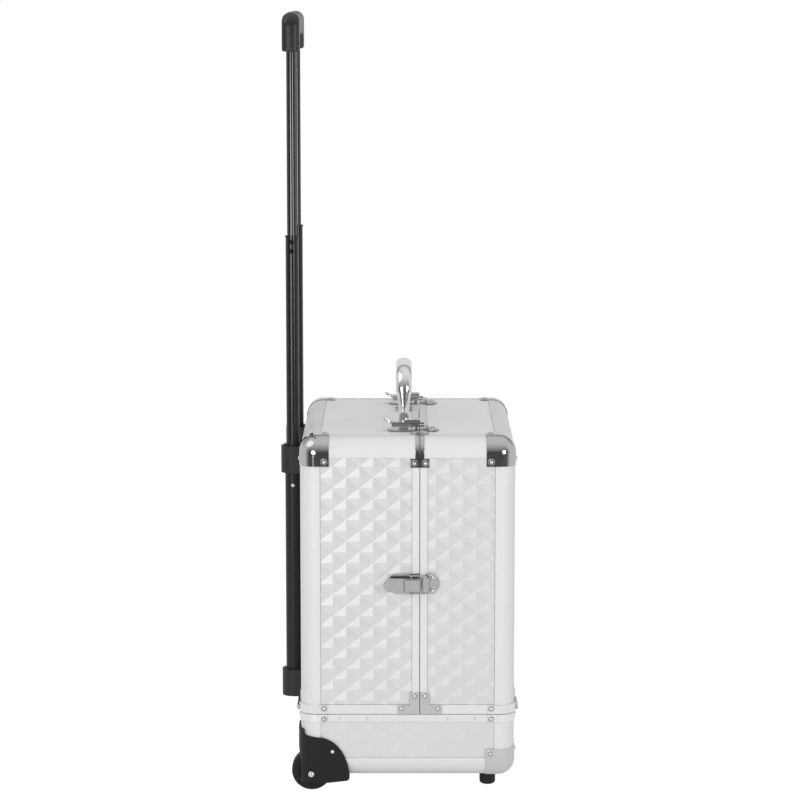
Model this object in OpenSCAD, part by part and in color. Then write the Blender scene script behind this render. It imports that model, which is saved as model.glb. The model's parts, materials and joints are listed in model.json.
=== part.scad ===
// Rolling makeup case: a base box on two wheels and two feet, with a rear and a front half that swing outward
// Millimetres, Z up, X along the wheel axle, front faces -Y, origin under the middle of the whole outline

/* [Case] */
// Length along the wheel axle
case_length = 350; // [346:1:354]
// Depth from front to back without the trolley handle
case_depth = 266; // [264:1:270]
// Height of the top face above the floor
case_top = 450; // [446:1:454]
// Depth of the front half
front_half_depth = 118; // [117:0.5:119]
// Height of the seam between the base and the halves
seam_level = 101.5; // [100:0.5:102]
// Height of the bottom face above the floor
base_bottom = 21; // [20.5:0.1:21.5]
// Open gap along every seam
seam_gap = 0.8; // [0.7:0.1:1]

/* [Frame] */
// Outer radius of the quarter round rails
edge_radius = 20; // [19:0.5:20.5]
// Width of one leg of the quarter round rails
edge_leg = 25; // [24.5:0.1:25.5]
// Wall of the rails
rail_wall = 1.6; // [1.5:0.05:1.7]
// Width of the rails along the split between the halves
split_rail = 9.2; // [9:0.1:9.6]
// Height of the bottom rails of the halves
half_bottom_rail = 11.6; // [11.2:0.1:12]
// Height of the top rails of the base
base_top_rail = 9.3; // [9:0.1:9.6]
// Gap between a board and the groove that takes it
groove_gap = 0.4; // [0.3:0.05:0.5]

/* [Panels] */
// Thickness of the boards
board = 4.4; // [4.2:0.1:4.4]
// Thickness of the embossed skin at its valleys
skin_web = 0.4; // [0.35:0.05:0.45]
// Height of the embossed diamonds, carried here at half their height
emboss = 1.5; // [1.3:0.1:1.5]
// Thickness of the lining
lining = 1; // [0.8:0.1:1]
// Gap between a skin or lining and the rails round it
panel_gap = 0.3; // [0.2:0.05:0.4]

/* [Corner hardware] */
// Thickness of the pressed corners, bands and brackets
plate = 0.85; // [0.7:0.05:1]
// Gap between hardware and the rails under it
plate_gap = 0.15; // [0.1:0.05:0.2]
// Reach of the ball corners from the corner
ball_leg = 36; // [35:0.5:37]
// Reach of the bands from the corner
band_leg = 33; // [32:0.5:33.5]
// Radius of the rivet heads
rivet_r = 2.4; // [2.2:0.1:2.5]
// Height of the rivet heads
rivet_h = 1.2; // [1:0.1:1.3]

/* [Hinges] */
// Radius of the hinge knuckles
knuckle_r = 3; // [2.9:0.05:3.05]
// Radius of the hinge pins
hinge_pin_r = 1.5; // [1.4:0.05:1.6]
// Length of one hinge
hinge_length = 46; // [44:0.5:47]
// Gap between the hinges and the trolley brackets beside them
hinge_gap = 1; // [0.8:0.1:2]
// Height of the upper hinge leaf
hinge_leaf = 22.5; // [21:0.5:24]
// Height of the lower hinge leaf
hinge_drop = 16; // [15:0.5:17]
// Gap of the running fits
run_gap = 0.05; // [0.03:0.01:0.07]

/* [Wheels and feet] */
// Wheel radius
wheel_r = 25; // [24.6:0.1:25.4]
// Wheel width
wheel_w = 20; // [19:0.5:20.5]
// Distance of the wheel axle from the rear face
wheel_in_y = 13; // [12:0.5:14]
// Distance of the wheel centre from the end face
wheel_in_x = 25; // [24.5:0.5:25.5]
// Axle radius
axle_r = 3; // [2.8:0.1:3.2]
// Radius of the axle heads
axle_head_r = 4; // [3.8:0.1:4.4]
// Wall of the wheel housing outside the case
cheek = 3; // [2.6:0.1:3.2]
// Free room round the wheel
wheel_room = 3; // [2.5:0.1:3.2]
// Radius of the rubber feet
foot_r = 10; // [9.5:0.1:10.3]
// Distance of the feet from the front face
foot_in_y = 32; // [31.5:0.5:33]
// Gap between the feet and the ball corners beside them
foot_gap = 2; // [1:0.5:4]

/* [Latches] */
// Distance of the top latches from the end face
latch_in = 63; // [59:1:67]
// Height of the side latches above the floor
latch_z = 267.5; // [262:0.5:272]
// Half width of the latch base plates
latch_half = 13; // [12.5:0.1:13.4]
// Height of the lever pivot above the frame
latch_pivot = 7; // [6.9:0.05:7.2]
// Distance from the lever pivot to the link pin
latch_throw = 7; // [6.6:0.1:7.2]
// Radius of the latch pins
latch_pin_r = 1.2; // [1.1:0.05:1.25]

/* [Handles] */
// Distance of the trolley tubes from the end face
tube_in = 98; // [98:0.5:100]
// Distance of the trolley tubes from the rear face
tube_stand = 11.5; // [11.5:0.1:12.5]
// Radius of the outer tubes
outer_tube_r = 10; // [9.8:0.1:10.2]
// Radius of the middle tubes
middle_tube_r = 8; // [7.8:0.1:8.1]
// Radius of the inner tubes
inner_tube_r = 6; // [5.8:0.1:6.1]
// Wall of the tubes
tube_wall = 1.4; // [1.2:0.05:1.4]
// Top of the trolley grip when it is pulled out
grip_top = 966; // [962:1:970]
// Top of the middle tubes when they are pulled out
middle_top = 688; // [684:1:690]
// How far the trolley grip reaches past the tubes
grip_side = 15; // [14:0.5:17]
// Depth of the trolley grip
grip_depth = 21.8; // [20.6:0.1:22]
// Distance of the carry handle from the split
handle_back = 19.6; // [18:0.2:21]
// Height of the carry handle above the top face
handle_rise = 71.6; // [68:0.2:74]
// Half length of the carry handle
handle_half = 61; // [58:0.5:63]
// Length of the mounts of the carry handle
mount_long = 26; // [25:0.5:28]
// Width of the mounts of the carry handle
mount_wide = 22; // [21:0.5:24]

/* [Trays] */
// Room for the arms between a tray and the wall
tray_room = 7.6; // [7.4:0.1:8.2]
// Height of the trays
tray_height = 100; // [94:1:101]
// Gap between a tray and the split
tray_gap = 6.2; // [6:0.1:12]
// Wall of the trays
tray_wall = 2.5; // [2.2:0.1:2.8]
// Rise from the lower to the upper tray
tray_pitch = 160; // [158:0.5:161]
// Radius of the tray pivots
tray_pin_r = 2.5; // [2.3:0.1:2.6]
// Radius of the pins that hang in the arms
arm_pin_r = 2; // [1.8:0.1:2.1]
// Gap round the pins that hang in the arms
arm_gap = 0.3; // [0.25:0.05:0.4]
// Width of the arms
arm_w = 11; // [10.5:0.1:11.2]

/* [Hidden] */
$fn = 48;
hx = case_length / 2;
hy = case_depth / 2;
split_y = front_half_depth - hy;
half_bottom = seam_level + seam_gap / 2;
base_top = seam_level - seam_gap / 2;
inner_flange = 1.2;
rail_groove = skin_web + board + groove_gap;
rail_deep = rail_wall + rail_groove + inner_flange;
skin_low = rail_wall + skin_web;
board_low = skin_low + board;
// The boards start where the inside of the round leaves the skin's back
board_edge = edge_radius - sqrt(pow(edge_radius - rail_wall, 2) - pow(edge_radius - skin_low + 0.1, 2)) + 0.3;
board_tuck = rail_wall + groove_gap;
wall_in = hx - board_low - lining;
tray_half = wall_in - tray_room;
wheel_x = hx - wheel_in_x;
wheel_y = hy - wheel_in_y;
foot_x = hx - ball_leg - foot_r - foot_gap;
foot_y = hy - foot_in_y;
latch_x = hx - latch_in;
tube_x = hx - tube_in;
tube_y = hy + tube_stand;
grip_half = tube_x + grip_side;
handle_y = split_y + handle_back;
hinge_axis = hy + knuckle_r + 0.2;
front_reach = hinge_axis + knuckle_r;
bracket_r = outer_tube_r + 5;
hinge_x = tube_x + bracket_r + hinge_gap + hinge_length / 2;
rear_reach = tube_y + bracket_r;
middle_shift = (rear_reach - front_reach) / 2;
notch_x = wheel_x - wheel_w / 2 - 5;
notch_y = wheel_y - wheel_r - 6;
notch_z = wheel_r * 2 + 10;
notch_gap = 0.3;
butt_gap = 0.1;
eye_rise = 0.6;
handle_axis = case_top + 8.5;
handle_eye = 6.3;
handle_pin_r = 2.5;
grip_low = grip_top - 48;
bush_rise = 2;
bracket_top = case_top - edge_leg;
bracket_low = half_bottom + 1.1;
bracket_h = 34;
tube_low = bracket_low + 3;
middle_low = bracket_top - 50;
inner_low = middle_top - 45;
plug_h = 8;
// Tray linkage: distance inward from the hinge axis and height above it
tray_pivot = [39, 30];
arm_shift = [52, 9];
tray_face = 27;
tray_drop = 24;
arm_in = tray_half + 1;
arm_t = 2;
lug_in = arm_in + arm_t + 0.8;
lug_t = 2.5;

// Small helpers
module flip(axis, on) {
  if (on) mirror(axis) children();
  else children();
}

module both_sides() {
  for (s = [-1, 1]) flip([1, 0, 0], s < 0) children();
}

module round_corner(size, r) {
  difference() {
    square(size);
    difference() {
      square(r);
      translate([r, r]) circle(r);
    }
  }
}

module quarter_ring(r_out, r_in) {
  intersection() {
    difference() {
      circle(r_out);
      circle(r_in);
    }
    translate([-r_out - 1, -r_out - 1]) square(r_out + 1);
  }
}

module bar(a, b, w) {
  d = b - a;
  neck = w - 2 * eye_rise;
  translate(a) circle(w / 2);
  translate(b) circle(w / 2);
  translate(a) rotate(atan2(d[1], d[0])) translate([0, -neck / 2]) square([norm(d), neck]);
}

// Rail sections: x runs inward from the outer face
module edge_section() {
  inner = rail_deep - inner_flange;
  web = board_edge - 0.5 - rail_wall;
  difference() {
    round_corner(edge_leg, edge_radius);
    translate([rail_wall, rail_wall]) round_corner(edge_leg, edge_radius - rail_wall);
  }
  for (k = [0, 1]) flip([1, -1, 0], k == 1) {
    translate([rail_wall + 0.4, web]) square([rail_deep - rail_wall - 0.4, rail_wall]);
    translate([inner, web]) square([inner_flange, edge_leg - web]);
  }
}

module channel_section(w) {
  square([rail_wall, w]);
  square([rail_deep, rail_wall]);
  translate([rail_deep - inner_flange, 0]) square([inner_flange, w]);
}

module edge_up(sx, sy, z0, z1) {
  translate([sx * hx, sy * hy, z0]) flip([1, 0, 0], sx > 0) flip([0, 1, 0], sy > 0)
    linear_extrude(z1 - z0) edge_section();
}

module edge_x(sy, top, x0, x1) {
  translate([x0, sy * hy, top ? case_top : base_bottom]) flip([0, 1, 0], sy > 0) flip([0, 0, 1], top)
    rotate([90, 0, 90]) linear_extrude(x1 - x0) edge_section();
}

module edge_y(sx, top, y0, y1) {
  translate([sx * hx, max(y0, y1), top ? case_top : base_bottom]) flip([1, 0, 0], sx > 0) flip([0, 0, 1], top)
    rotate([90, 0, 0]) linear_extrude(abs(y1 - y0)) edge_section();
}

module channel_up(sx, y, dir, z0, z1, w) {
  translate([sx * hx, y, z0]) flip([1, 0, 0], sx > 0) flip([0, 1, 0], dir < 0)
    linear_extrude(z1 - z0) channel_section(w);
}

module channel_over(y, dir, x0, x1, w) {
  translate([x0, y, case_top]) flip([0, 1, 0], dir < 0) mirror([0, 0, 1])
    rotate([90, 0, 90]) linear_extrude(x1 - x0) mirror([1, -1, 0]) channel_section(w);
}

module channel_x(sy, z, up, x0, x1, w) {
  translate([x0, sy * hy, z]) flip([0, 1, 0], sy > 0) flip([0, 0, 1], !up)
    rotate([90, 0, 90]) linear_extrude(x1 - x0) channel_section(w);
}

module channel_y(sx, z, up, y0, y1, w) {
  translate([sx * hx, max(y0, y1), z]) flip([1, 0, 0], sx > 0) flip([0, 0, 1], !up)
    rotate([90, 0, 0]) linear_extrude(abs(y1 - y0)) channel_section(w);
}

// Flat boards given by two corners
module slab(a, b) {
  translate([min(a[0], b[0]), min(a[1], b[1]), min(a[2], b[2])])
    cube([abs(b[0] - a[0]), abs(b[1] - a[1]), abs(b[2] - a[2])]);
}

// One skin in its own plane: width by height, outer frame plane at zero
module skin(w, h) {
  translate([0, 0, -skin_low]) cube([w, h, skin_web + emboss / 2]);
}

module wall_skin_x(sy, x0, x1, z0, z1) {
  translate([0, sy * hy, z0]) flip([0, 1, 0], sy > 0) translate([x0, 0, 0])
    rotate([90, 0, 0]) skin(x1 - x0, z1 - z0);
}

module wall_skin_y(sx, y0, y1, z0, z1) {
  translate([sx * hx, 0, z0]) flip([1, 0, 0], sx < 0) translate([0, min(y0, y1), 0])
    rotate([90, 0, 90]) skin(abs(y1 - y0), z1 - z0);
}

module top_skin(x0, x1, y0, y1) {
  translate([x0, min(y0, y1), case_top]) skin(x1 - x0, abs(y1 - y0));
}

// Pressed corner hardware, outer corner of the frame at the origin, case towards plus
module ball_corner() {
  r_out = edge_radius + plate_gap + plate;
  r_in = edge_radius + plate_gap;
  run = ball_leg - edge_radius;
  translate([edge_radius, edge_radius, edge_radius]) intersection() {
    difference() {
      sphere(r_out);
      sphere(r_in);
    }
    translate([-r_out - 1, -r_out - 1, -r_out - 1]) cube(r_out + 1);
  }
  translate([edge_radius, edge_radius, edge_radius]) {
    linear_extrude(run) quarter_ring(r_out, r_in);
    rotate([90, 0, 90]) linear_extrude(run) quarter_ring(r_out, r_in);
    mirror([0, 1, 0]) rotate([90, 0, 0]) linear_extrude(run) flip([1, 0, 0], false) quarter_ring(r_out, r_in);
  }
  translate([-plate_gap - plate, edge_radius, edge_radius]) cube([plate, run, run]);
  translate([edge_radius, -plate_gap - plate, edge_radius]) cube([run, plate, run]);
  translate([edge_radius, edge_radius, -plate_gap - plate]) cube([run, run, plate]);
}

module at_corner(sx, sy, z, top) {
  translate([sx * hx, sy * hy, z]) flip([1, 0, 0], sx > 0) flip([0, 1, 0], sy > 0) flip([0, 0, 1], top)
    children();
}

module corner_band(h) {
  r_in = edge_radius + plate_gap;
  run = band_leg - edge_radius;
  linear_extrude(h) {
    translate([edge_radius, edge_radius]) quarter_ring(r_in + plate, r_in);
    translate([-plate_gap - plate, edge_radius]) square([plate, run]);
    translate([edge_radius, -plate_gap - plate]) square([run, plate]);
  }
}

// Strap over the top edge beside the split with a tab on the side and on the top
module split_strap() {
  r_in = edge_radius + plate_gap;
  wide = 5;
  tab = 11;
  drop = edge_leg + 12;
  lift = plate_gap + plate;
  rotate([90, 0, 0]) linear_extrude(wide) translate([edge_radius, edge_radius]) quarter_ring(r_in + plate, r_in);
  translate([-lift, -wide, edge_radius]) cube([plate, wide, drop - edge_radius]);
  translate([-lift, -tab, drop - tab]) cube([plate, tab, tab]);
  translate([edge_radius, -wide, -lift]) cube([drop - edge_radius, wide, plate]);
  translate([drop - tab, -tab, -lift]) cube([tab, tab, plate]);
}

module split_bracket() {
  lift = plate_gap + plate;
  translate([-lift, -27, 0]) cube([plate, 27, 11.5]);
  translate([-lift, -11.5, 0]) cube([plate, 11.5, 27.5]);
}

module rivet() {
  ball = (rivet_r * rivet_r + rivet_h * rivet_h) / (2 * rivet_h);
  intersection() {
    translate([0, 0, rivet_h - ball]) sphere(ball);
    cylinder(h = rivet_h + 1, r = rivet_r + 1);
  }
}

module rivet_x(sx, y, z, lift) {
  translate([sx * (hx + lift), y, z]) rotate([0, sx * 90, 0]) rivet();
}

module rivet_y(sy, x, z, lift) {
  translate([x, sy * (hy + lift), z]) rotate([-sy * 90, 0, 0]) rivet();
}

module rivet_top(x, y, lift) {
  translate([x, y, case_top + lift]) rivet();
}

// The two swinging halves: s is 1 for the rear and -1 for the front
function seam_y(s) = split_y + s * seam_gap / 2;

module half_boards(s) {
  slab([-hx + board_edge, s * (hy - skin_low), half_bottom + board_tuck],
       [hx - board_edge, s * (hy - board_low), case_top - board_edge]);
  slab([-hx + board_edge, seam_y(s) + s * board_tuck, case_top - skin_low],
       [hx - board_edge, s * (hy - board_edge), case_top - board_low]);
  both_sides()
    slab([hx - skin_low, seam_y(s) + s * board_tuck, half_bottom + board_tuck],
         [hx - board_low, s * (hy - board_edge), case_top - board_edge]);
}

module half_skins(s) {
  g = edge_leg + panel_gap;
  low = half_bottom + half_bottom_rail + panel_gap;
  near = seam_y(s) + s * (split_rail + panel_gap);
  wall_skin_x(s, -hx + g, hx - g, low, case_top - g);
  for (sx = [-1, 1]) wall_skin_y(sx, near, s * (hy - g), low, case_top - g);
  top_skin(-hx + g, hx - g, near, s * (hy - g));
}

module half_lining(s) {
  g = edge_leg + panel_gap;
  low = half_bottom + half_bottom_rail + panel_gap;
  near = seam_y(s) + s * (split_rail + panel_gap);
  deep = board_low + lining;
  slab([-hx + g, s * (hy - board_low), low], [hx - g, s * (hy - deep), case_top - g]);
  slab([-hx + g, near, case_top - board_low], [hx - g, s * (hy - g), case_top - deep]);
  both_sides() slab([hx - board_low, near, low], [hx - deep, s * (hy - g), case_top - g]);
}

module half_edge_rails(s) {
  for (sx = [-1, 1]) {
    edge_up(sx, s, half_bottom, case_top - edge_leg);
    edge_y(sx, true, seam_y(s), s * (hy - edge_leg));
  }
  edge_x(s, true, -hx + edge_leg, hx - edge_leg);
}

module half_trim_rails(s) {
  near = seam_y(s) + s * (split_rail + butt_gap);
  for (sx = [-1, 1]) {
    channel_up(sx, seam_y(s), s, half_bottom, case_top - edge_leg, split_rail);
    channel_y(sx, half_bottom, true, near, s * (hy - edge_leg - butt_gap), half_bottom_rail);
  }
  channel_over(seam_y(s), s, -hx + edge_leg, hx - edge_leg, split_rail);
  channel_x(s, half_bottom, true, -hx + edge_leg + butt_gap, hx - edge_leg - butt_gap, half_bottom_rail);
}

module half_hardware(s) {
  for (sx = [-1, 1]) {
    at_corner(sx, s, case_top, true) ball_corner();
    at_corner(sx, s, half_bottom, false) corner_band(11);
    translate([sx * hx, seam_y(s), case_top]) flip([1, 0, 0], sx > 0) flip([0, 1, 0], s > 0) flip([0, 0, 1], true)
      split_strap();
    translate([sx * hx, seam_y(s), half_bottom]) flip([1, 0, 0], sx > 0) flip([0, 1, 0], s > 0)
      split_bracket();
  }
}

module half_rivets(s) {
  lift = plate_gap + plate;
  inset = ball_leg - 6;
  y_ball = s * (hy - inset);
  y_band = s * (hy - band_leg + 4);
  y_seam = seam_y(s);
  for (sx = [-1, 1]) {
    rivet_x(sx, y_ball, case_top - inset, lift);
    rivet_y(s, sx * (hx - inset), case_top - inset, lift);
    rivet_top(sx * (hx - inset), y_ball, lift);
    rivet_x(sx, y_band, half_bottom + 7, lift);
    rivet_y(s, sx * (hx - band_leg + 4), half_bottom + 7, lift);
    rivet_x(sx, y_seam + s * 22, half_bottom + 7.5, lift);
    rivet_x(sx, y_seam + s * 6, half_bottom + 23, lift);
    rivet_x(sx, y_seam + s * 6.5, case_top - edge_leg - 6.5, lift);
    rivet_top(sx * (hx - edge_leg - 6.5), y_seam + s * 6.5, lift);
  }
}

// Hinges at the outer edge of the seam
module hinge_leaf_at(s, upper) {
  own = hinge_length / 4 - 0.2;
  for (sx = [-1, 1]) translate([sx * hinge_x, s * hinge_axis, seam_level])
    flip([0, 1, 0], s < 0) flip([0, 0, 1], !upper) difference() {
      union() {
        translate([-hinge_length / 2, 0.01 - knuckle_r, knuckle_r + 0.5])
          cube([hinge_length, 1.5, (upper ? hinge_leaf : hinge_drop) - knuckle_r - 0.5]);
        for (k = upper ? [0] : [-1, 1]) {
          wide = upper ? hinge_length / 2 - 0.4 : own;
          x0 = upper ? -wide / 2 : (k < 0 ? -hinge_length / 2 : hinge_length / 2 - own);
          translate([x0, 0, 0]) rotate([0, 90, 0]) cylinder(h = wide, r = knuckle_r);
          translate([x0, 0.01 - knuckle_r, 0]) cube([wide, 1.5, knuckle_r + 1]);
        }
      }
      translate([-hinge_length, 0, 0]) rotate([0, 90, 0])
        cylinder(h = 2 * hinge_length, r = hinge_pin_r + (upper ? run_gap : 0.02));
    }
}

module hinge_pins(s) {
  for (sx = [-1, 1]) translate([sx * hinge_x - hinge_length / 2, s * hinge_axis, seam_level])
    rotate([0, 90, 0]) cylinder(h = hinge_length, r = hinge_pin_r);
}

// Level trays on arms: u inward from the hinge axis of half s, v above it
module at_link(s, u, v) {
  translate([0, s * (hinge_axis - u), seam_level + v]) children();
}

module link_plane(s) {
  translate([0, s * hinge_axis, seam_level]) flip([0, 1, 0], s > 0) rotate([90, 0, 90]) children();
}

function tray_depth(s) = hinge_axis - tray_face - s * split_y - tray_gap;

module tray(s, level) {
  depth = tray_depth(s);
  v = tray_pivot[1] + level * tray_pitch;
  low = seam_level + v - tray_drop;
  outer = hinge_axis - tray_face;
  difference() {
    slab([-tray_half, s * outer, low], [tray_half, s * (outer - depth), low + tray_height]);
    slab([-tray_half + tray_wall, s * (outer - tray_wall), low + tray_wall],
         [tray_half - tray_wall, s * (outer - depth + tray_wall), low + tray_height + 1]);
    for (sx = [-1, 1]) at_link(s, tray_pivot[0], v) rotate([0, sx * 90, 0])
      translate([0, 0, tray_half - 10]) cylinder(h = 20, r = tray_pin_r + run_gap);
  }
  both_sides() at_link(s, tray_pivot[0] + arm_shift[0], v + arm_shift[1]) rotate([0, 90, 0])
    translate([0, 0, tray_half - 0.5]) cylinder(h = arm_t + 1.9, r = arm_pin_r);
  for (k = [-1, 1])
    slab([k * tray_half / 3 - 1, s * (outer - tray_wall / 2), low + tray_wall / 2],
         [k * tray_half / 3 + 1, s * (outer - depth + tray_wall / 2), low + tray_height - 8]);
}

module tray_arms(s) {
  home = arm_shift;
  lower = tray_pivot + arm_shift;
  upper = lower + [0, tray_pitch];
  both_sides() translate([arm_in, 0, 0]) link_plane(s) linear_extrude(arm_t) difference() {
    union() {
      bar(home, lower, arm_w);
      bar(lower, upper, arm_w);
    }
    translate(home) circle(tray_pin_r + run_gap);
    translate(lower) circle(arm_pin_r + arm_gap);
    translate(upper) circle(arm_pin_r + arm_gap);
  }
}

module tray_pivots(s) {
  wall = wall_in;
  both_sides() for (level = [0, 1]) at_link(s, tray_pivot[0], tray_pivot[1] + level * tray_pitch)
    rotate([0, 90, 0]) {
      translate([0, 0, tray_half - tray_wall]) cylinder(h = wall - tray_half + tray_wall, r = tray_pin_r);
      translate([0, 0, wall - 2.4]) cylinder(h = 2.4, r = 7);
    }
}

module arm_lugs(s) {
  wall = wall_in;
  both_sides() {
    translate([lug_in, 0, 0]) link_plane(s) linear_extrude(lug_t) bar(arm_shift, arm_shift - [0, 34], 14);
    translate([lug_in, 0, 0]) link_plane(s) linear_extrude(wall - lug_in)
      translate([arm_shift[0] - 7, -34]) square([14, 34 - base_top_rail - 1.5]);
    at_link(s, arm_shift[0], arm_shift[1]) rotate([0, 90, 0])
      translate([0, 0, arm_in - 0.3]) cylinder(h = lug_in - arm_in + 0.8, r = tray_pin_r);
  }
}

// Draw latches: x towards the front from the split, y across, z outward from the frame plane
module latch_place(side, s) {
  if (side) translate([s * hx, split_y, latch_z]) rotate([0, s * 90, 0]) rotate([0, 0, -90]) children();
  else translate([s * latch_x, split_y, case_top]) rotate([0, 0, -90]) children();
}

latch_s = -3.5;
latch_ear = 5.6;
bow_in = latch_half - 2.4;

module latch_base() {
  low = 0.1;
  thick = 1.3;
  translate([0, 0, low]) linear_extrude(thick) {
    translate([-40 + latch_half, 0]) circle(latch_half);
    translate([-40 + latch_half, -latch_half]) square([39 - latch_half, 2 * latch_half]);
  }
  for (k = [-1, 1]) flip([0, 1, 0], k < 0) {
    translate([latch_s, latch_ear + 1.2, 0]) rotate([90, 0, 0]) linear_extrude(1.2) {
      translate([0, latch_pivot]) circle(2.2);
      translate([-2.2, low + thick / 2]) square([3.3, latch_pivot - low - thick / 2]);
    }
    translate([latch_s, latch_ear + 3, latch_pivot]) rotate([90, 0, 0]) cylinder(h = 2.4, r = latch_pin_r);
  }
}

module latch_lever() {
  deck = latch_pivot + 2.5;
  in = latch_ear + 1.6;
  out = in + 1.2;
  difference() {
    union() {
      for (k = [-1, 1]) flip([0, 1, 0], k < 0)
        translate([0, out, 0]) rotate([90, 0, 0]) linear_extrude(1.2) {
          translate([-35, latch_pivot - 2.2]) square([35 + latch_s, 4.7]);
          translate([latch_s, latch_pivot]) circle(2.2);
          translate([latch_s - 1, latch_pivot]) square([3, 2.7]);
        }
      translate([-37, -out, deck]) cube([34, 2 * out, 1.2]);
      translate([-19, -out, deck]) cube([20, 2 * out, 3]);
      translate([-37, 0, deck]) rotate([0, 28, 0]) linear_extrude(1.2) intersection() {
        translate([-9, -out]) square([9.6, 2 * out]);
        translate([out - 9, 0]) circle(out);
      }
      for (k = [-1, 1]) flip([0, 1, 0], k < 0)
        translate([latch_s - latch_throw, bow_in + 1.5, latch_pivot - 0.5]) rotate([90, 0, 0])
          cylinder(h = bow_in + 2 - out, r = latch_pin_r);
    }
    translate([latch_s, 20, latch_pivot]) rotate([90, 0, 0]) cylinder(h = 40, r = latch_pin_r + run_gap);
  }
}

module latch_hook() {
  thick = 1.2;
  link = latch_s - latch_throw;
  low = latch_pivot - 1.7;
  wide = bow_in + thick;
  for (k = [-1, 1]) flip([0, 1, 0], k < 0) translate([0, wide, 0]) rotate([90, 0, 0])
    linear_extrude(thick) difference() {
      union() {
        translate([link, latch_pivot - 0.5]) circle(2.5);
        translate([link, low]) square([5.5 - link, 2.4]);
      }
      translate([link, latch_pivot - 0.5]) circle(latch_pin_r + run_gap);
    }
  intersection() {
    union() {
      translate([4, -wide, low]) cube([7.4, 2 * wide, 1.2]);
      translate([10, -wide, 2.2]) cube([1.4, 2 * wide, low - 1.2]);
    }
    cylinder(h = latch_pivot, r = wide + 1.4);
  }
}

module latch_keeper() {
  low = 0.1;
  translate([0, 0, low]) linear_extrude(1.3) intersection() {
    translate([24 - latch_half, 0]) circle(latch_half);
    translate([8.4, -latch_half]) square([15.6, 2 * latch_half]);
  }
  translate([8.4, -11, low]) cube([1.2, 22, latch_pivot - 2.3]);
}

module keeper_rivets() {
  for (k = [-1, 1]) translate([16.5, k * 8.5, 1.4]) rivet();
}

// Base box
module base_notch(gap) {
  both_sides() translate([notch_x - gap, notch_y - gap, -10])
    cube([hx - notch_x + 2 * wheel_r, hy - notch_y + 2 * wheel_r, notch_z + gap + 10]);
}

module base_boards() {
  color("#3a3a3c") difference() {
    union() {
      slab([-hx + board_edge, -hy + board_edge, base_bottom + skin_low],
           [hx - board_edge, hy - board_edge, base_bottom + board_low]);
      for (s = [-1, 1]) {
        slab([-hx + board_edge, s * (hy - skin_low), base_bottom + board_edge],
             [hx - board_edge, s * (hy - board_low), base_top - board_tuck]);
        slab([s * (hx - skin_low), -hy + board_edge, base_bottom + board_edge],
             [s * (hx - board_low), hy - board_edge, base_top - board_tuck]);
      }
    }
    base_notch(0);
  }
}

module base_skins() {
  g = edge_leg + panel_gap;
  low = base_bottom + g;
  high = base_top - base_top_rail - panel_gap;
  color("#d8d9dc") difference() {
    for (s = [-1, 1]) {
      wall_skin_x(s, -hx + g, hx - g, low, high);
      wall_skin_y(s, -hy + g, hy - g, low, high);
    }
    base_notch(0);
  }
}

module base_edge_rails() {
  color("#c9cbce") for (sx = [-1, 1]) {
    edge_up(sx, -1, base_bottom + edge_leg, base_top);
    edge_up(sx, 1, notch_z + notch_gap, base_top);
    edge_y(sx, false, -hy + edge_leg, notch_y - notch_gap);
  }
  color("#c9cbce") edge_x(-1, false, -hx + edge_leg, hx - edge_leg);
  color("#c9cbce") edge_x(1, false, -notch_x + notch_gap, notch_x - notch_gap);
}

module base_top_rails() {
  color("#c9cbce") for (s = [-1, 1]) {
    channel_x(s, base_top, false, -hx + edge_leg, hx - edge_leg, base_top_rail);
    channel_y(s, base_top, false, -hy + edge_leg, hy - edge_leg, base_top_rail);
  }
}

module base_corner_hardware() {
  color("#b9bbbf") for (sx = [-1, 1]) {
    at_corner(sx, -1, base_bottom, false) ball_corner();
    for (sy = [-1, 1]) at_corner(sx, sy, base_top, true) corner_band(9.5);
  }
}

module base_rivets() {
  lift = plate_gap + plate;
  inset = ball_leg - 6;
  color("#d0d2d5") for (sx = [-1, 1]) {
    rivet_x(sx, -hy + inset, base_bottom + inset, lift);
    rivet_y(-1, sx * (hx - inset), base_bottom + inset, lift);
    for (sy = [-1, 1]) {
      rivet_x(sx, sy * (hy - band_leg + 4), base_top - 5.5, lift);
      rivet_y(sy, sx * (hx - band_leg + 4), base_top - 5.5, lift);
    }
    for (sy = [-1, 1]) for (y = [49, 83]) rivet_x(sx, sy * (hy - y), base_top - 5, 0);
    rivet_x(sx, notch_y + 4.6, notch_z - 5.8, cheek + 0.05);
    for (sy = [-1, 1]) for (x = [30, 75]) rivet_y(sy, sx * x, base_top - 5, 0);
  }
}

module base_lining() {
  g = edge_leg + panel_gap;
  low = base_bottom + g;
  high = base_top - base_top_rail - panel_gap;
  deep = board_low + lining;
  color("#1f1f21") difference() {
    union() {
      slab([-hx + g, -hy + g, base_bottom + board_low], [hx - g, hy - g, base_bottom + deep]);
      for (s = [-1, 1]) {
        slab([-hx + g, s * (hy - board_low), low], [hx - g, s * (hy - deep), high]);
        slab([s * (hx - board_low), -hy + g, low], [s * (hx - deep), hy - g, high]);
      }
    }
    base_notch(0);
  }
}

// Wheel housing: wraps the lower rear corner and forms the wheel well
module housing_plan(offset_out, x_in) {
  r = edge_radius + offset_out;
  y_in = notch_y - 30;
  difference() {
    translate([x_in, y_in]) square([hx + offset_out - x_in, hy + offset_out - y_in]);
    translate([hx - edge_radius, hy - edge_radius]) difference() {
      square(r + 1);
      circle(r);
    }
  }
}

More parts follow.
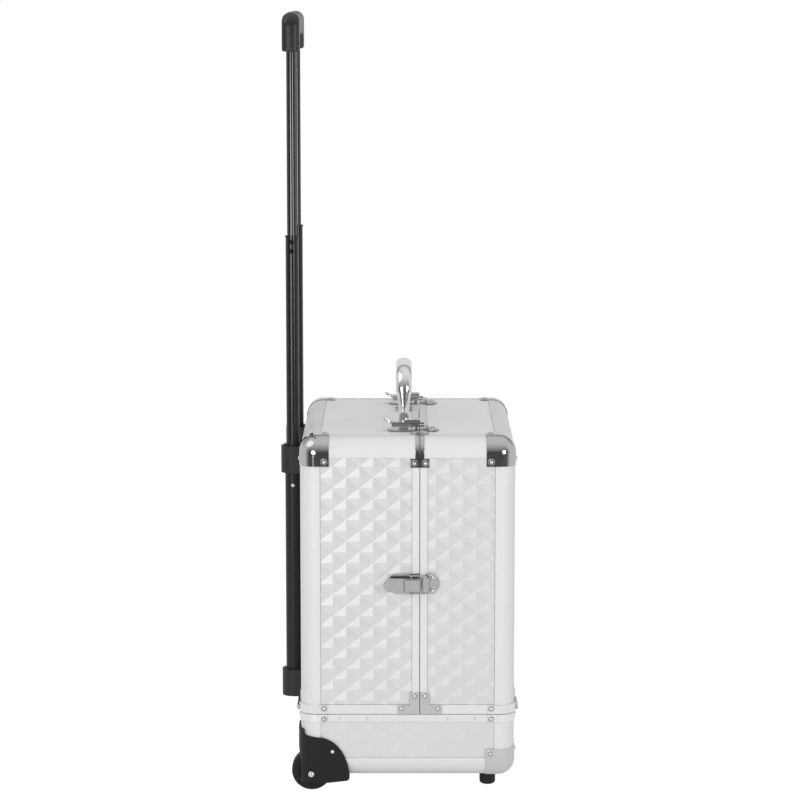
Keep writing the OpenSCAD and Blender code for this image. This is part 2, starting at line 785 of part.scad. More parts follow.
module housing_outline() {
  back = hy + cheek;
  low = 13.4;
  arc_y = notch_y + 23;
  arc_z = 20;
  front = notch_y - 16.5;
  arc = [for (t = [0 : 5 : 90]) [arc_y - (arc_y - front) * cos(t), arc_z + 52 * sin(t)]];
  polygon(concat([[back, low], [front + 34, low], [front + 3, low + 3.4], [front + 0.8, low + 4.8]], arc,
                 [[back - 10.5, arc_z + 54], [back - 7, base_top - 26], [back - 6.5, base_top - 19.6],
                  [back, base_top - 19.6]]));
}

module wheel_room_outline() {
  r = wheel_r + wheel_room;
  translate([wheel_y, wheel_r]) circle(r);
  translate([wheel_y, -10]) square([60, wheel_r + r + 10]);
  translate([wheel_y - r, -10]) square([60 + r, wheel_r + 10]);
}

module wheel_housings() {
  room = wheel_w + 3;
  seat = hx - 1;
  x_in = notch_x - 10;
  long = hx + cheek - x_in + 10;
  color("#2b2b2d") both_sides() difference() {
    intersection() {
      translate([0, 0, 5]) linear_extrude(base_top) housing_plan(cheek, notch_x - 7);
      translate([x_in, 0, 0]) rotate([90, 0, 90]) linear_extrude(long) housing_outline();
    }
    difference() {
      translate([0, 0, base_bottom - 0.2]) linear_extrude(base_top) housing_plan(0.2, x_in);
      translate([notch_x + notch_gap, notch_y + notch_gap, 0]) cube([long, long, notch_z - notch_gap]);
    }
    translate([wheel_x - room / 2, 0, 0]) rotate([90, 0, 90]) linear_extrude(room) wheel_room_outline();
    translate([notch_x + 1, wheel_y, wheel_r]) rotate([0, 90, 0]) cylinder(h = long, r = axle_r + 0.03);
    translate([seat, wheel_y, wheel_r]) rotate([0, 90, 0]) cylinder(h = long, r = axle_head_r + 1);
  }
}

module wheel_axles() {
  color("#9a9ca0") both_sides() translate([0, wheel_y, wheel_r]) rotate([0, 90, 0]) {
    translate([0, 0, notch_x + 1.2]) cylinder(h = hx - notch_x - 2, r = axle_r);
    translate([0, 0, hx - 1]) cylinder(h = 3.2, r = axle_head_r);
  }
}

module tyre() {
  half = wheel_w / 2;
  rim = wheel_r - 8;
  rotate([0, 90, 0]) rotate_extrude() difference() {
    union() {
      translate([rim + 0.02, -half + 0.5]) square([wheel_r - rim - 3.02, wheel_w - 1]);
      translate([wheel_r - 3.5, -half + 3]) square([3.5, wheel_w - 6]);
      for (k = [-1, 1]) translate([wheel_r - 3, k * (half - 3)]) circle(3);
    }
    translate([rim - 10, -half]) square([10.02, wheel_w]);
  }
}

module hub() {
  half = wheel_w / 2;
  rim = wheel_r - 8;
  rotate([0, 90, 0]) difference() {
    translate([0, 0, -half + 1]) cylinder(h = wheel_w - 2, r = rim);
    for (k = [-1, 1]) translate([0, 0, k * half]) difference() {
      cylinder(h = 10, r = rim - 2.5, center = true);
      cylinder(h = 12, r = 6.5, center = true);
    }
    translate([0, 0, -half]) cylinder(h = wheel_w, r = axle_r + run_gap);
  }
}

module wheel_place(sx) {
  translate([sx * wheel_x, wheel_y, wheel_r]) children();
}

module left_tyre() color("#1d1d1f") wheel_place(-1) tyre();
module right_tyre() color("#1d1d1f") wheel_place(1) tyre();
module left_hub() color("#333336") wheel_place(-1) hub();
module right_hub() color("#333336") wheel_place(1) hub();

module rubber_feet() {
  high = base_bottom - 0.1;
  color("#232325") both_sides() translate([foot_x, -foot_y, 0]) {
    rotate_extrude() {
      square([foot_r - 4, high]);
      translate([0, 4]) square([foot_r, high - 4]);
      translate([foot_r - 4, 4]) circle(4);
    }
    translate([0, 0, high - 0.5]) cylinder(h = skin_low + 0.6, r = 5);
  }
}

module base_hinge_leaves() {
  color("#c4c6c9") for (s = [-1, 1]) {
    hinge_leaf_at(s, false);
    hinge_pins(s);
  }
}

module tray_arm_lugs() color("#8f9194") for (s = [-1, 1]) arm_lugs(s);

// Rear half
module rear_boards() color("#3a3a3c") half_boards(1);
module rear_skins() color("#d8d9dc") half_skins(1);
module rear_edge_rails() color("#c9cbce") half_edge_rails(1);
module rear_trim_rails() color("#c9cbce") half_trim_rails(1);
module rear_corner_hardware() color("#d5d6d9") half_hardware(1);
module rear_rivets() color("#d0d2d5") half_rivets(1);
module rear_lining() color("#1f1f21") half_lining(1);
module rear_hinge_leaves() color("#c4c6c9") hinge_leaf_at(1, true);
module rear_tray_pivots() color("#8f9194") tray_pivots(1);

module latch_base_plates() {
  color("#cfd1d4") for (s = [-1, 1]) {
    latch_place(false, s) latch_base();
    latch_place(true, s) latch_base();
  }
}

// Carry handle on the rear half
module carry_handle_mounts() {
  inner = handle_half + 0.6;
  color("#d5d6d9") both_sides() {
    translate([handle_half + 12 - mount_long, handle_y - mount_wide / 2, case_top + 0.1])
      cube([mount_long, mount_wide, 1.4]);
    translate([inner, handle_y, 0]) rotate([90, 0, 90]) linear_extrude(3) {
      translate([0, handle_axis]) circle(handle_eye - 0.3);
      translate([-handle_eye + 0.3, case_top + 1]) square([2 * handle_eye - 0.6, handle_axis - case_top - 1]);
    }
    translate([handle_half - 7.5, handle_y, handle_axis]) rotate([0, 90, 0]) cylinder(h = 9, r = handle_pin_r);
  }
}

module handle_bow() {
  rise = handle_rise - handle_axis + case_top;
  bend = 30;
  thick = 8.6;
  difference() {
    union() {
      translate([-handle_half, 0]) square([2 * handle_half, rise - bend]);
      translate([-handle_half + bend, 0]) square([2 * (handle_half - bend), rise]);
      for (k = [-1, 1]) {
        translate([k * (handle_half - bend), rise - bend]) circle(bend);
        translate([k > 0 ? handle_half - thick : -handle_half, -handle_eye]) square([thick, handle_eye + 1]);
      }
    }
    translate([-handle_half + thick, -10]) square([2 * (handle_half - thick), rise - bend + 10]);
    translate([-handle_half + bend, -10]) square([2 * (handle_half - bend), rise - thick + 10]);
    for (k = [-1, 1]) translate([k * (handle_half - bend), rise - bend]) circle(bend - thick);
  }
}

module handle_side() {
  rise = handle_rise - handle_axis + case_top;
  circle(handle_eye);
  half = 10;
  polygon([[-handle_eye, 0], [handle_eye, 0], [7.4, 30], [half, rise - 16], [half, rise - half],
           [-half, rise - half], [-half, rise - 16], [-7.4, 30]]);
  translate([0, rise - half]) circle(half);
}

module carry_handle() {
  long = 2 * handle_half + 2;
  color("#d5d6d9") translate([0, handle_y, handle_axis]) difference() {
    intersection() {
      translate([0, 20, 0]) rotate([90, 0, 0]) linear_extrude(40) handle_bow();
      translate([-long / 2, 0, 0]) rotate([90, 0, 90]) linear_extrude(long) handle_side();
    }
    translate([-long / 2, 0, 0]) rotate([0, 90, 0]) cylinder(h = long, r = handle_pin_r + run_gap);
  }
}

// Trolley handle behind the rear half
module bracket_plan() {
  wall = hy + 0.1 - tube_y;
  intersection() {
    circle(bracket_r);
    translate([-bracket_r - 1, wall]) square([2 * bracket_r + 2, bracket_r - wall + 1]);
  }
  translate([-bracket_r, wall]) square([2 * bracket_r, -wall]);
}

module trolley_brackets() {
  color("#262628") both_sides() translate([tube_x, tube_y, 0]) {
    difference() {
      translate([0, 0, bracket_low]) linear_extrude(bracket_h) bracket_plan();
      translate([0, 0, tube_low - 0.05]) cylinder(h = 2 * bracket_h, r = outer_tube_r + 0.03);
    }
    difference() {
      translate([0, 0, bracket_top - bracket_h]) linear_extrude(bracket_h) bracket_plan();
      translate([0, 0, bracket_top - bracket_h - 1]) cylinder(h = bracket_h + 2, r = outer_tube_r + 0.03);
    }
  }
}

module bush(r_bore, r_slide, z_top, flange_r) {
  difference() {
    union() {
      translate([0, 0, z_top - 20]) cylinder(h = 20.5, r = r_bore - 0.04);
      translate([0, 0, z_top + 0.05]) cylinder(h = bush_rise, r = flange_r);
    }
    translate([0, 0, z_top - 30]) cylinder(h = 60, r = r_slide + run_gap);
  }
}

module tube(r, z0, z1) {
  translate([0, 0, z0]) difference() {
    cylinder(h = z1 - z0, r = r);
    translate([0, 0, -1]) cylinder(h = z1 - z0 + 2, r = r - tube_wall);
  }
}

module outer_tubes() {
  color("#1b1b1d") both_sides() translate([tube_x, tube_y, 0]) {
    tube(outer_tube_r, tube_low, bracket_top);
    bush(outer_tube_r - tube_wall, middle_tube_r, bracket_top, tube_stand - 0.3);
  }
}

module middle_tubes() {
  color("#1b1b1d") both_sides() translate([tube_x, tube_y, 0]) {
    tube(middle_tube_r, middle_low, middle_top);
    bush(middle_tube_r - tube_wall, inner_tube_r, middle_top, middle_tube_r + 0.8);
    translate([0, 0, middle_low - plug_h - butt_gap]) difference() {
      cylinder(h = plug_h, r = outer_tube_r - tube_wall - run_gap);
      translate([0, 0, -1]) cylinder(h = plug_h + 2, r = middle_tube_r - tube_wall);
    }
  }
}

module inner_tubes() {
  color("#1b1b1d") both_sides() translate([tube_x, tube_y, 0]) {
    tube(inner_tube_r, inner_low, grip_top - 20);
    translate([0, 0, inner_low - plug_h - butt_gap]) cylinder(h = plug_h, r = middle_tube_r - tube_wall - run_gap);
  }
}

module grip_front() {
  tall = grip_top - grip_low;
  round_out = 16;
  foot = 34;
  bar_h = 28;
  difference() {
    union() {
      translate([-grip_half, 0]) square([2 * grip_half, tall - round_out]);
      translate([-grip_half + round_out, 0]) square([2 * (grip_half - round_out), tall]);
      for (k = [-1, 1]) translate([k * (grip_half - round_out), tall - round_out]) circle(round_out);
    }
    translate([-grip_half + foot, -1]) square([2 * (grip_half - foot), tall - bar_h - 9]);
    translate([-grip_half + foot + 10, -1]) square([2 * (grip_half - foot - 10), tall - bar_h + 1]);
    for (k = [-1, 1]) translate([k * (grip_half - foot - 10), tall - bar_h - 10]) circle(10);
  }
}

module grip_section() {
  tall = grip_top - grip_low;
  half = grip_depth / 2;
  round_top = half - 1.4;
  translate([-half, 0]) square([grip_depth, tall - round_top]);
  translate([-half + round_top, 0]) square([2 * (half - round_top), tall]);
  for (k = [-1, 1]) translate([k * (half - round_top), tall - round_top]) circle(round_top);
}

module grip_solid() {
  translate([0, tube_y, grip_low]) intersection() {
    translate([0, 40, 0]) rotate([90, 0, 0]) linear_extrude(80) grip_front();
    translate([-grip_half - 1, 0, 0]) rotate([90, 0, 90]) linear_extrude(2 * grip_half + 2) grip_section();
  }
}

module trolley_grip() {
  color("#242426") difference() {
    grip_solid();
    both_sides() translate([tube_x, tube_y, grip_low - 1]) cylinder(h = 29.5, r = inner_tube_r + 0.03);
    translate([-20.4, tube_y - 5.4, grip_top - 12.5]) cube([40.8, 10.8, 30]);
  }
}

module release_button() {
  color("#38383b") intersection() {
    grip_solid();
    translate([-20, tube_y - 5, grip_top - 9]) cube([40, 10, 30]);
  }
}

// Front half
module front_boards() color("#3a3a3c") half_boards(-1);
module front_skins() color("#d8d9dc") half_skins(-1);
module front_edge_rails() color("#c9cbce") half_edge_rails(-1);
module front_trim_rails() color("#c9cbce") half_trim_rails(-1);
module front_corner_hardware() color("#d5d6d9") half_hardware(-1);
module front_rivets() {
  color("#d0d2d5") half_rivets(-1);
  color("#d0d2d5") for (s = [-1, 1]) {
    latch_place(false, s) keeper_rivets();
    latch_place(true, s) keeper_rivets();
  }
}
module front_lining() color("#1f1f21") half_lining(-1);
module front_hinge_leaves() color("#c4c6c9") hinge_leaf_at(-1, true);
module front_tray_pivots() color("#8f9194") tray_pivots(-1);

module latch_keepers() {
  color("#cfd1d4") for (s = [-1, 1]) {
    latch_place(false, s) latch_keeper();
    latch_place(true, s) latch_keeper();
  }
}

// Trays and their arms
module rear_lower_tray() color("#2c2c2f") tray(1, 0);
module rear_upper_tray() color("#2c2c2f") tray(1, 1);
module front_lower_tray() color("#2c2c2f") tray(-1, 0);
module front_upper_tray() color("#2c2c2f") tray(-1, 1);
module rear_tray_arms() color("#b4b6b9") tray_arms(1);
module front_tray_arms() color("#b4b6b9") tray_arms(-1);

// Latch levers and hooks
module left_top_lever() color("#cfd1d4") latch_place(false, -1) latch_lever();
module right_top_lever() color("#cfd1d4") latch_place(false, 1) latch_lever();
module left_side_lever() color("#cfd1d4") latch_place(true, -1) latch_lever();
module right_side_lever() color("#cfd1d4") latch_place(true, 1) latch_lever();
module left_top_hook() color("#c4c6c9") latch_place(false, -1) latch_hook();
module right_top_hook() color("#c4c6c9") latch_place(false, 1) latch_hook();
module left_side_hook() color("#c4c6c9") latch_place(true, -1) latch_hook();
module right_side_hook() color("#c4c6c9") latch_place(true, 1) latch_hook();

translate([0, -middle_shift, 0]) {
  base_boards();
  base_skins();
  base_edge_rails();
  base_top_rails();
  base_corner_hardware();
  base_rivets();
  base_lining();
  wheel_housings();
  wheel_axles();
  rubber_feet();
  base_hinge_leaves();
  tray_arm_lugs();
  left_tyre();
  left_hub();
  right_tyre();
  right_hub();
  rear_boards();
  rear_skins();
  rear_edge_rails();
  rear_trim_rails();
  rear_corner_hardware();
  rear_rivets();
  rear_lining();
  rear_hinge_leaves();
  rear_tray_pivots();
  latch_base_plates();
  carry_handle_mounts();
  carry_handle();
  trolley_brackets();
  outer_tubes();
  middle_tubes();
  inner_tubes();
  trolley_grip();
  release_button();
  front_boards();
  front_skins();
  front_edge_rails();
  front_trim_rails();
  front_corner_hardware();
  front_rivets();
  front_lining();
  front_hinge_leaves();
  front_tray_pivots();
  latch_keepers();
  rear_lower_tray();
  rear_upper_tray();
  front_lower_tray();
  front_upper_tray();
  rear_tray_arms();
  front_tray_arms();
  left_top_lever();
  right_top_lever();
  left_side_lever();
  right_side_lever();
  left_top_hook();
  right_top_hook();
  left_side_hook();
  right_side_hook();
}
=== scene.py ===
"""Rolling makeup case: embossed skins, fasteners, finishes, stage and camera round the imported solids."""

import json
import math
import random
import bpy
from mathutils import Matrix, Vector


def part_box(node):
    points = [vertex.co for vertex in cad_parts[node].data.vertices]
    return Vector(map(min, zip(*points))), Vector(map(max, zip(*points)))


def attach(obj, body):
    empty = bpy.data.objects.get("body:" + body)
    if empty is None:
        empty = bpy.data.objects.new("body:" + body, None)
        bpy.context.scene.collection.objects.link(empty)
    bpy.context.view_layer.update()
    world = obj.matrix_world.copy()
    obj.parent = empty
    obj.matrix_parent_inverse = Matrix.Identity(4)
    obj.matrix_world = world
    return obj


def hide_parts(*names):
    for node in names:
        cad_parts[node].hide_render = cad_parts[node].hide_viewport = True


bl_info = {
    "name": "Rolling Makeup Case",
    "version": (1, 0, 0),
    "blender": (4, 5, 0),
    "location": "View3D > Sidebar > Makeup Case",
    "description": "Dresses a rolling makeup case with embossed skins, fasteners and finishes",
    "category": "Object",
}

import bmesh
import bpy
from mathutils import Matrix, Vector

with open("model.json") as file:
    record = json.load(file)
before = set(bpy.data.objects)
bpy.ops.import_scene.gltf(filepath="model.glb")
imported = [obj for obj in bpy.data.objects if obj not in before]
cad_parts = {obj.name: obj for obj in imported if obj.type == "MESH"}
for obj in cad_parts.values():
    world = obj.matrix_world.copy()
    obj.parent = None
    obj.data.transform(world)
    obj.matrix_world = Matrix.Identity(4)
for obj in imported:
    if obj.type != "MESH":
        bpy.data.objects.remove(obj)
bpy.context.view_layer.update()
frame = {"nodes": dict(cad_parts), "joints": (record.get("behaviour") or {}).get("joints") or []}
NODES = frame["nodes"]
SIDES = (-1, 1)
# Points closer than this, in metres, are one point
WELD = 1e-6
# Edges flatter than these angles, in degrees, are shaded smooth
SMOOTH_TABS = 12
SMOOTH_HEADS = 40
SMOOTH_HANDLES = 60


# Sizes and colours that a user may change
def length(name, description, default):
    return bpy.props.FloatProperty(
        name=name, description=description, default=default, unit="LENGTH", precision=5
    )


def colour(name, description, default):
    return bpy.props.FloatVectorProperty(
        name=name, description=description, default=default, size=3, subtype="COLOR", min=0, max=1
    )


def share(name, description, default):
    return bpy.props.FloatProperty(
        name=name, description=description, default=default, min=0, max=1, subtype="FACTOR"
    )


def power(name, description, default):
    return bpy.props.FloatProperty(name=name, description=description, default=default, unit="POWER")


def angle(name, description, default):
    return bpy.props.FloatProperty(name=name, description=description, default=default, subtype="ANGLE")


class CASE_PG_skin(bpy.types.PropertyGroup):
    """The embossed skins and the rails that frame them"""

    edge_leg: length("Edge leg", "Width of one leg of the quarter round rails", 0.025)
    split_rail: length("Split rail", "Width of the rails along the split", 0.0092)
    half_rail: length("Half rail", "Height of the bottom rails of the halves", 0.0116)
    base_rail: length("Base rail", "Height of the top rails of the base", 0.0093)
    gap: length("Gap", "Gap between a skin and the rails round it", 0.0003)
    diamond_w: length("Diamond width", "Width of one embossed diamond", 0.0334)
    diamond_h: length("Diamond height", "Height of one embossed diamond", 0.0268)
    peak: length("Peak", "Depth of the diamond tips below the rail face", 0.0002)
    valley: length("Valley", "Depth of the valleys below the rail face", 0.0015)
    base_valley: length("Base valley", "Depth of the valleys on the base", 0.0008)
    top_valley: length("Top valley", "Depth of the valleys on the top", 0.0008)
    back: length("Back", "Depth of the back of the skin below the rail face", 0.002)
    wander: length("Wander", "How far single tips differ in height", 0.0001)
    notch_y: length("Notch place", "Where the wheel well starts, from the rear face", 0.044)
    notch_z: length("Notch height", "Height of the wheel well above the floor", 0.06)
    seam_z: length("Seam", "Height of the seam between the base and the halves", 0.1015)
    split_y: length("Split", "Place of the split between the halves", -0.015)
    band_reach: length("Band reach", "Height of the corner bands from the seam", 0.0125)
    bracket_reach: length("Bracket reach", "How far the brackets reach from the split", 0.045)


class CASE_PG_handle(bpy.types.PropertyGroup):
    """The carry handle and the grip of the trolley handle"""

    eye: length("Eye", "Radius of the eyes", 0.0063)
    bore: length("Bore", "Radius of the holes for the pins", 0.00265)
    grip: length("Grip", "Half width of the bar", 0.01)
    bend: length("Bend", "Outer radius of the bends", 0.03)
    crown: length("Crown", "Thickness of the bow", 0.0086)
    hollow: length("Hollow", "Height of the inner crown", 0.0022)
    grip_voxel: length("Grip voxel", "Cell in which the trolley grip's edges are rounded", 0.0012)
    grip_corner: length("Grip corner", "Radius of the trolley grip's upper corners", 0.016)
    grip_crown: length("Grip crown", "How far the trolley grip's ends are crowned", 0.0057)
    button_room: length("Button room", "Room round the release button", 0.0013)
    button_travel: length("Button travel", "How far the release button goes in", 0.003)
    grip_rounds: bpy.props.IntProperty(
        name="Grip rounds", description="Passes of rounding over the trolley grip's edges", default=20, min=1
    )


class CASE_PG_latch(bpy.types.PropertyGroup):
    """The tabs on the latch levers"""

    tab_long: length("Tab length", "Length of the raised tab", 0.0182)
    tab_wide: length("Tab width", "Width of the raised tab", 0.0148)
    tab_rise: length("Tab rise", "Height of the tab over the lever", 0.0012)
    tab_rim: length("Tab rim", "Bevel round the tab", 0.0005)
    tab_ahead: length("Tab place", "Middle of the tab ahead of the lever's pivot", -0.0057)
    tab_out: length("Lever top", "Top of the lever over its pivot", 0.0055)


class CASE_PG_rivet(bpy.types.PropertyGroup):
    """Rivets and other round fasteners"""

    rivet: length("Rivet", "Radius of the rivet heads", 0.0025)
    rivet_rise: length("Rivet rise", "Height of the rivet heads", 0.0013)
    cup: length("Cup", "Radius of the stamped cups under the rivets", 0.0042)
    cup_rise: length("Cup rise", "Height of the stamped cups", 0.0006)
    rail_rivet: length("Rail rivet", "Radius of the small rivets on the rails", 0.0016)
    housing_top: length("Housing top", "Height of the wheel housings", 0.07)
    axle_cap: length("Axle cap", "Radius of the caps on the axles", 0.0038)
    tube_rivet_drop: length("Tube rivet", "Distance of the tube rivets from the tube top", 0.052)
    tube_wall: length("Tube step", "Step from the middle tube's collar to the outer tube", 0.0012)
    dimple: length("Dimple", "Radius of the rings on the middle tubes", 0.003)
    dimple_rise: length("Dimple rise", "Height of the rings", 0.00002)
    dimple_drop: length("Dimple place", "Distance of the first ring from the tube top", 0.008)
    collar: length("Collar", "How far the collar stands out from the middle tube", 0.0008)


class CASE_PG_colours(bpy.types.PropertyGroup):
    """The colours of the finishes"""

    skin: colour("Skin", "Silver film on the panels", (0.705, 0.71, 0.712))
    # Painted light: a paler copy of the skin colour that makes the top render lighter
    top_skin: colour("Top skin", "Silver film on the top", (0.86, 0.865, 0.867))
    rail: colour("Rail", "Satin anodised rails", (0.745, 0.745, 0.74))
    grey_corner: colour("Grey corner", "Satin corners of the base", (0.62, 0.63, 0.64))
    chrome: colour("Chrome", "Bright plated corners of the halves", (0.60, 0.60, 0.605))
    bright: colour("Bright chrome", "Bright plated carry handle", (0.88, 0.88, 0.885))
    nickel: colour("Nickel", "Plated latches and hinges", (0.52, 0.52, 0.525))
    rivet: colour("Rivet", "Rivet heads", (0.68, 0.68, 0.685))
    zinc: colour("Zinc", "Axles, arms, pivots and handle mounts", (0.56, 0.56, 0.57))
    plastic: colour("Plastic", "Wheel housings, hubs and trolley grip", (0.011, 0.011, 0.012))
    grip: colour("Grip", "Brackets and release button of the trolley handle", (0.025, 0.025, 0.026))
    tube: colour("Tube", "Satin black outer tubes", (0.012, 0.012, 0.013))
    ink: colour("Ink", "Gloss black sliding tubes", (0.004, 0.004, 0.0042))
    # Painted highlight: the paler metal given to the corner bands beside the seam
    band_highlight_tint: colour("Painted_highlight", "Bands beside the seam", (0.86, 0.86, 0.86))
    rubber: colour("Rubber", "Tyres and feet", (0.012, 0.012, 0.012))
    tray: colour("Tray", "Moulded trays", (0.022, 0.022, 0.024))
    lining: colour("Lining", "Cloth lining", (0.014, 0.014, 0.015))
    board: colour("Board", "Boards behind the skins", (0.055, 0.052, 0.05))


class CASE_PG_stage(bpy.types.PropertyGroup):
    """The camera and the light"""

    lens: bpy.props.FloatProperty(name="Lens", description="Focal length in millimetres", default=128.28)
    camera_at: bpy.props.FloatVectorProperty(
        name="Camera", description="Place of the camera", subtype="TRANSLATION",
        default=(-3.6262, -0.00562, 1.0126),
    )
    pitch: angle("Pitch", "Downward tilt", 0.1483)
    yaw: angle("Yaw", "Turn to the rear", 0.0014)
    sky: share("Sky", "Light from all round", 0.76)
    key: power("Key", "Power of the left lamp", 11.5)
    fill: power("Fill", "Power of the right lamp", 10)
    top: power("Top", "Power of the high lamp", 6)


# Shader maths
# A grain that runs alike in all directions
EVEN = (1, 1, 1)


class Value:
    """A socket of a finish; arithmetic on it adds Math nodes."""

    def __init__(self, finish, socket):
        self.finish = finish
        self.socket = socket

    def math(self, operation, first, second=0.0):
        return self.finish.node("ShaderNodeMath", {"operation": operation}, {0: first, 1: second})

    def __add__(self, other):
        return self.math("ADD", self, other)

    def __radd__(self, other):
        return self.math("ADD", other, self)

    def __sub__(self, other):
        return self.math("SUBTRACT", self, other)

    def __rsub__(self, other):
        return self.math("SUBTRACT", other, self)

    def __mul__(self, other):
        return self.math("MULTIPLY", self, other)

    def __rmul__(self, other):
        return self.math("MULTIPLY", other, self)

    def __pow__(self, other):
        return self.math("POWER", self, other)

    def __rpow__(self, other):
        return self.math("POWER", other, self)

    def size(self):
        return self.math("ABSOLUTE", self)

    def clamped(self):
        return self.finish.node("ShaderNodeClamp", {}, {"Value": self})

    def past(self, start, rise):
        """Nought up to the start, then climbs by the rise per unit to one."""
        return ((self - start) * rise).clamped()

    def before(self, end, rise):
        """One, then falls by the rise per unit to nought at the end."""
        return ((end - self) * rise).clamped()


class Finish:
    """One node tree and the calls that add nodes to it."""

    def __init__(self, tree):
        self.tree = tree

    def node(self, kind, settings=None, inputs=None, output=0):
        """Adds a node; gives back an output by its number or name, or a list for a tuple of names."""
        made = self.tree.nodes.new(kind)
        for key, value in (settings or {}).items():
            setattr(made, key, value)
        for key, value in (inputs or {}).items():
            self.feed(made.inputs[key], value)
        if isinstance(output, tuple):
            return [Value(self, made.outputs[name]) for name in output]
        return None if output is None else Value(self, made.outputs[output])

    def feed(self, target, value):
        if isinstance(value, Value):
            self.tree.links.new(value.socket, target)
        else:
            target.default_value = value

    def blend(self, factor, first, second):
        return self.node("ShaderNodeMix", {"data_type": "RGBA"}, {0: factor, 6: first, 7: second}, 2)

    def split(self, vector):
        return self.node("ShaderNodeSeparateXYZ", {}, {0: vector}, ("X", "Y", "Z"))

    def place(self, stretch=EVEN):
        local = self.node("ShaderNodeTexCoord", {}, {}, "Object")
        if stretch == EVEN:
            return local
        return self.node("ShaderNodeVectorMath", {"operation": "MULTIPLY"}, {0: local, 1: stretch})

    def noise(self, scale, detail, stretch=EVEN):
        inputs = {"Vector": self.place(stretch), "Scale": scale, "Detail": detail}
        return self.node("ShaderNodeTexNoise", {}, inputs)


def shade(tint, factor=1):
    return tuple(min(1.0, c * factor) for c in tint) + (1.0,)


def grey(level):
    return (level, level, level, 1)


# Finishes
CLOUD_DETAIL = 4.0
GRAIN_DETAIL = 2.0
GRAIN_HEIGHT = 0.0003
BEVEL_SAMPLES = 4
# Rubbed edges: the scale and detail of their speckle, how soon they show, and how much rougher they are
WEAR_SCALE = 260.0
WEAR_DETAIL = 3.0
WEAR_GAIN = 5.0
WEAR_ROUGHENS = 0.1
# How sharply the painted highlight on the corner bands ends, per metre
BAND_EDGE = 2000.0
# Painted shade in corners: how dark it is beside the plain finish, and how fast it fades in the open
CREVICE_SHADE_SAMPLES = 6
CREVICE_SHADE_TINT = 0.08
CREVICE_SHADE_POWER = 1.6


def material(name, tint, metallic, rough, look):
    """A finish whose colour and gloss drift over the surface, with a fine grain in its normal."""
    made = bpy.data.materials.new(name)
    made.use_nodes = True
    shader = made.node_tree.nodes["Principled BSDF"]
    finish = Finish(made.node_tree)
    cloud = finish.noise(look["cloud"], CLOUD_DETAIL)
    base = finish.blend(cloud, shade(tint, 1 - look["drift"]), shade(tint, 1 + look["drift"]))
    roughness = rough + (cloud - 0.5) * look["swing"]
    normal = None
    if "round" in look:
        normal = finish.node("ShaderNodeBevel", {"samples": BEVEL_SAMPLES}, {"Radius": look["round"]})
    if "wear" in look:
        base, roughness = edge_wear(finish, normal, base, roughness, look["wear"])
    # Painted highlight: a paler colour on the corner bands beside the seam
    if "bands" in look:
        base = paler_bands_as_highlight(finish, base)
    # Painted shade: the colour darkens where ambient occlusion finds corners and gaps
    if "grime" in look:
        base = grime(finish, base, shade(tint, CREVICE_SHADE_TINT), look["grime"])
    finish.feed(shader.inputs["Base Color"], base)
    finish.feed(shader.inputs["Roughness"], roughness.clamped())
    if look["depth"] > 0:
        grain = finish.noise(look["grain"], GRAIN_DETAIL, look["stretch"])
        bump = {"Strength": look["depth"], "Distance": GRAIN_HEIGHT, "Height": grain}
        if normal is not None:
            bump["Normal"] = normal
        finish.feed(shader.inputs["Normal"], finish.node("ShaderNodeBump", {}, bump))
    shader.inputs["Metallic"].default_value = metallic
    shader.inputs["Specular IOR Level"].default_value = look["sheen"]
    made.diffuse_color = shade(tint)
    return made


def edge_wear(finish, rounded, base, roughness, worn):
    """Edges rub paler: where the rounded normal leaves the true one."""
    true = finish.node("ShaderNodeNewGeometry", {}, {}, "True Normal")
    along = finish.node("ShaderNodeVectorMath", {"operation": "DOT_PRODUCT"}, {0: rounded, 1: true}, "Value")
    speckle = finish.noise(WEAR_SCALE, WEAR_DETAIL)
    mask = ((1 - along) * WEAR_GAIN * speckle).clamped()
    return finish.blend(mask, base, shade(worn)), roughness + mask * WEAR_ROUGHENS


def paler_bands_as_highlight(finish, base):
    """Painted highlight: the corner bands above and below the seam are paler than the brackets beside the
    split, standing in for the bright highlight they catch.
    """
    sizes = bpy.context.scene.case_skin
    band_highlight_tint = shade(bpy.context.scene.case_colours.band_highlight_tint)
    _, along, height = finish.split(finish.place())
    beside_seam = (height - sizes.seam_z).size().before(sizes.band_reach, BAND_EDGE)
    from_split = (along - sizes.split_y).size().past(sizes.bracket_reach, BAND_EDGE)
    return finish.blend(beside_seam * from_split, base, band_highlight_tint)


def grime(finish, base, dark, reach):
    """Painted shade: darkens the colour towards a dark tint in the corners where plates and heads meet, where
    ambient occlusion finds them.
    """
    settings = {"samples": CREVICE_SHADE_SAMPLES}
    open_sky = finish.node("ShaderNodeAmbientOcclusion", settings, {"Distance": reach}, "AO")
    return finish.blend((open_sky ** CREVICE_SHADE_POWER).clamped(), dark, base)


# What a finish has where its recipe says nothing else; cloud and grain are scales per metre
PLAIN = {"cloud": 9.0, "drift": 0.05, "swing": 0.06, "stretch": EVEN, "sheen": 0.5}


def recipe(tint, metallic, rough, **look):
    """Which colour a finish takes, how metallic and rough it is, and how it is grained."""
    return tint, metallic, rough, {**PLAIN, **look}


